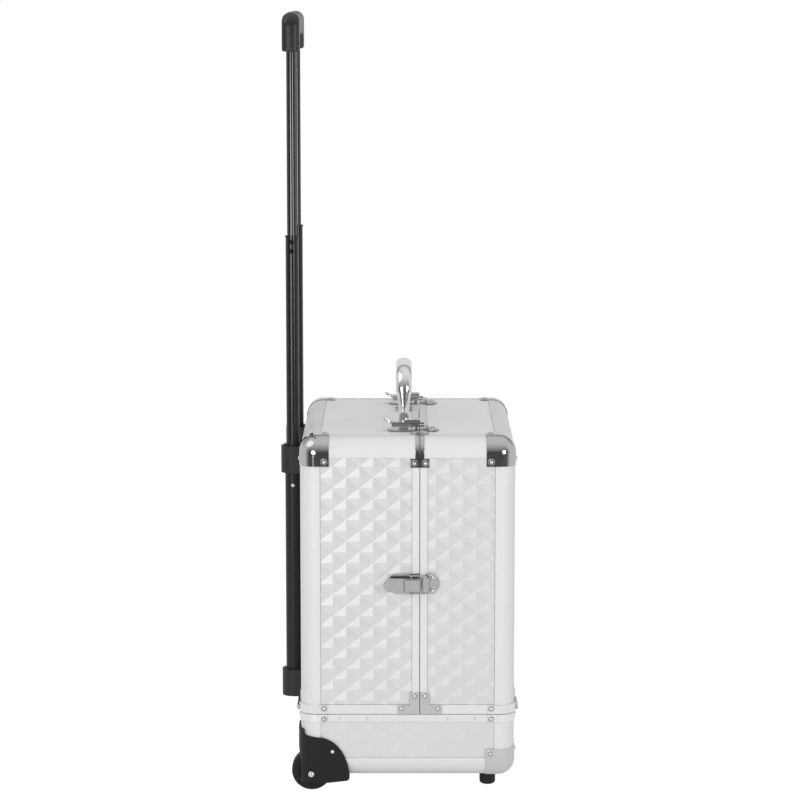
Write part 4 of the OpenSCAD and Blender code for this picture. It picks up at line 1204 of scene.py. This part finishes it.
def make_floor():
    """A pale disc that the camera sees as white."""
    shape = bmesh.new()
    bmesh.ops.create_circle(shape, cap_ends=True, segments=FLOOR_SIDES, radius=FLOOR_REACH)
    floor = linked("floor", poured("floor", shape))
    made = bpy.data.materials.new("pale_floor")
    made.use_nodes = True
    made.node_tree.nodes.clear()
    finish = Finish(made.node_tree)
    camera, glossy, through = seen_rays(finish)
    lit = finish.node("ShaderNodeBsdfDiffuse", {}, {"Color": grey(FLOOR_GREY)})
    glow = finish.node("ShaderNodeEmission", {}, {"Color": grey(1), "Strength": FLOOR_WHITE})
    factor = (camera * FLOOR_GLOW + (glossy + through) * FLOOR_MIRRORED).clamped()
    mixed = finish.node("ShaderNodeMixShader", {}, {0: factor, 1: lit, 2: glow})
    finish.node("ShaderNodeOutputMaterial", {}, {"Surface": mixed}, None)
    floor.data.materials.append(made)


def make_sky(settings):
    """White round the case; metal and gloss show a room, dim on the camera's side and in a band behind."""
    world = bpy.data.worlds.new("studio")
    bpy.context.scene.world = world
    world.use_nodes = True
    world.node_tree.nodes.clear()
    finish = Finish(world.node_tree)
    camera, glossy, through = seen_rays(finish)
    ahead, _, height = finish.split(finish.node("ShaderNodeTexCoord", {}, {}, "Generated"))
    front = ahead.before(*DIM_FRONT) * height.before(*DIM_CEILING)
    behind = ahead.past(*BAND_NEAR) * height.past(*BAND_FOOT) * height.before(*BAND_HEAD)
    dim = (front + behind * BAND_DIMNESS).clamped()
    room = finish.blend(dim, grey(ROOM_BRIGHT), grey(ROOM_DARK))
    around = finish.blend(glossy, grey(settings.sky), room)
    around = finish.blend((camera + through).clamped(), around, grey(1))
    light = finish.node("ShaderNodeBackground", {}, {"Color": around, "Strength": 1.0})
    finish.node("ShaderNodeOutputWorld", {}, {"Surface": light}, None)


def make_lamp(name, place, target, width, watts):
    """A round lamp that the camera doesn't see."""
    data = bpy.data.lights.new(name, "AREA")
    data.shape = "DISK"
    data.size = width
    data.energy = watts
    lamp = linked(name, data)
    lamp.location = place
    lamp.rotation_mode = "QUATERNION"
    lamp.rotation_quaternion = (Vector(target) - Vector(place)).to_track_quat("-Z", "Y")
    lamp.visible_camera = False


def make_camera(settings):
    """The camera at one end of the case, a little above it and looking slightly down."""
    data = bpy.data.cameras.new("camera")
    data.lens = settings.lens
    data.sensor_width = SENSOR_WIDTH
    data.clip_end = FARTHEST
    camera = linked("camera", data)
    camera.location = settings.camera_at
    ahead = Vector((math.cos(settings.pitch), math.sin(settings.yaw), -math.sin(settings.pitch)))
    camera.rotation_mode = "QUATERNION"
    camera.rotation_quaternion = ahead.to_track_quat("-Z", "Y")
    bpy.context.scene.camera = camera


class CASE_OT_stage(bpy.types.Operator):
    """Make the floor, the light and the camera"""

    bl_idname = "makeup_case.stage"
    bl_label = "Stage"

    def execute(self, context):
        settings = context.scene.case_stage
        context.scene.view_settings.view_transform = "Standard"
        make_floor()
        make_sky(settings)
        for name, place, target, width, setting in LAMPS:
            make_lamp(name, place, target, width, getattr(settings, setting))
        make_camera(settings)
        return {"FINISHED"}


class CASE_PT_panel(bpy.types.Panel):
    """Lists the sizes, the colours and the steps"""

    bl_idname = "CASE_PT_panel"
    bl_label = "Makeup Case"
    bl_space_type = "VIEW_3D"
    bl_region_type = "UI"
    bl_category = "Makeup Case"

    def draw(self, context):
        for holder, kind in GROUPS.items():
            box = self.layout.box()
            for name in kind.__annotations__:
                box.prop(getattr(context.scene, holder), name)
        for step in STEPS:
            self.layout.operator(step.bl_idname)


GROUPS = {
    "case_skin": CASE_PG_skin, "case_latch": CASE_PG_latch, "case_rivet": CASE_PG_rivet,
    "case_handle": CASE_PG_handle, "case_colours": CASE_PG_colours, "case_stage": CASE_PG_stage,
}
STEPS = (
    CASE_OT_skins, CASE_OT_frame, CASE_OT_latches, CASE_OT_fasteners, CASE_OT_carry_handle,
    CASE_OT_trolley_grip, CASE_OT_handles, CASE_OT_wheels, CASE_OT_inside, CASE_OT_stage,
)


def register():
    for kind in (*GROUPS.values(), *STEPS, CASE_PT_panel):
        bpy.utils.register_class(kind)
    for name, group in GROUPS.items():
        setattr(bpy.types.Scene, name, bpy.props.PointerProperty(type=group))


def unregister():
    for name in GROUPS:
        delattr(bpy.types.Scene, name)
    for kind in (CASE_PT_panel, *reversed(STEPS), *GROUPS.values()):
        bpy.utils.unregister_class(kind)


def main():
    register()
    steps = bpy.ops.makeup_case
    steps.skins()
    steps.frame()
    steps.latches()
    steps.fasteners()
    steps.carry_handle()
    steps.trolley_grip()
    steps.handles()
    steps.wheels()
    steps.inside()
    steps.stage()


if __name__ == "__main__":
    main()
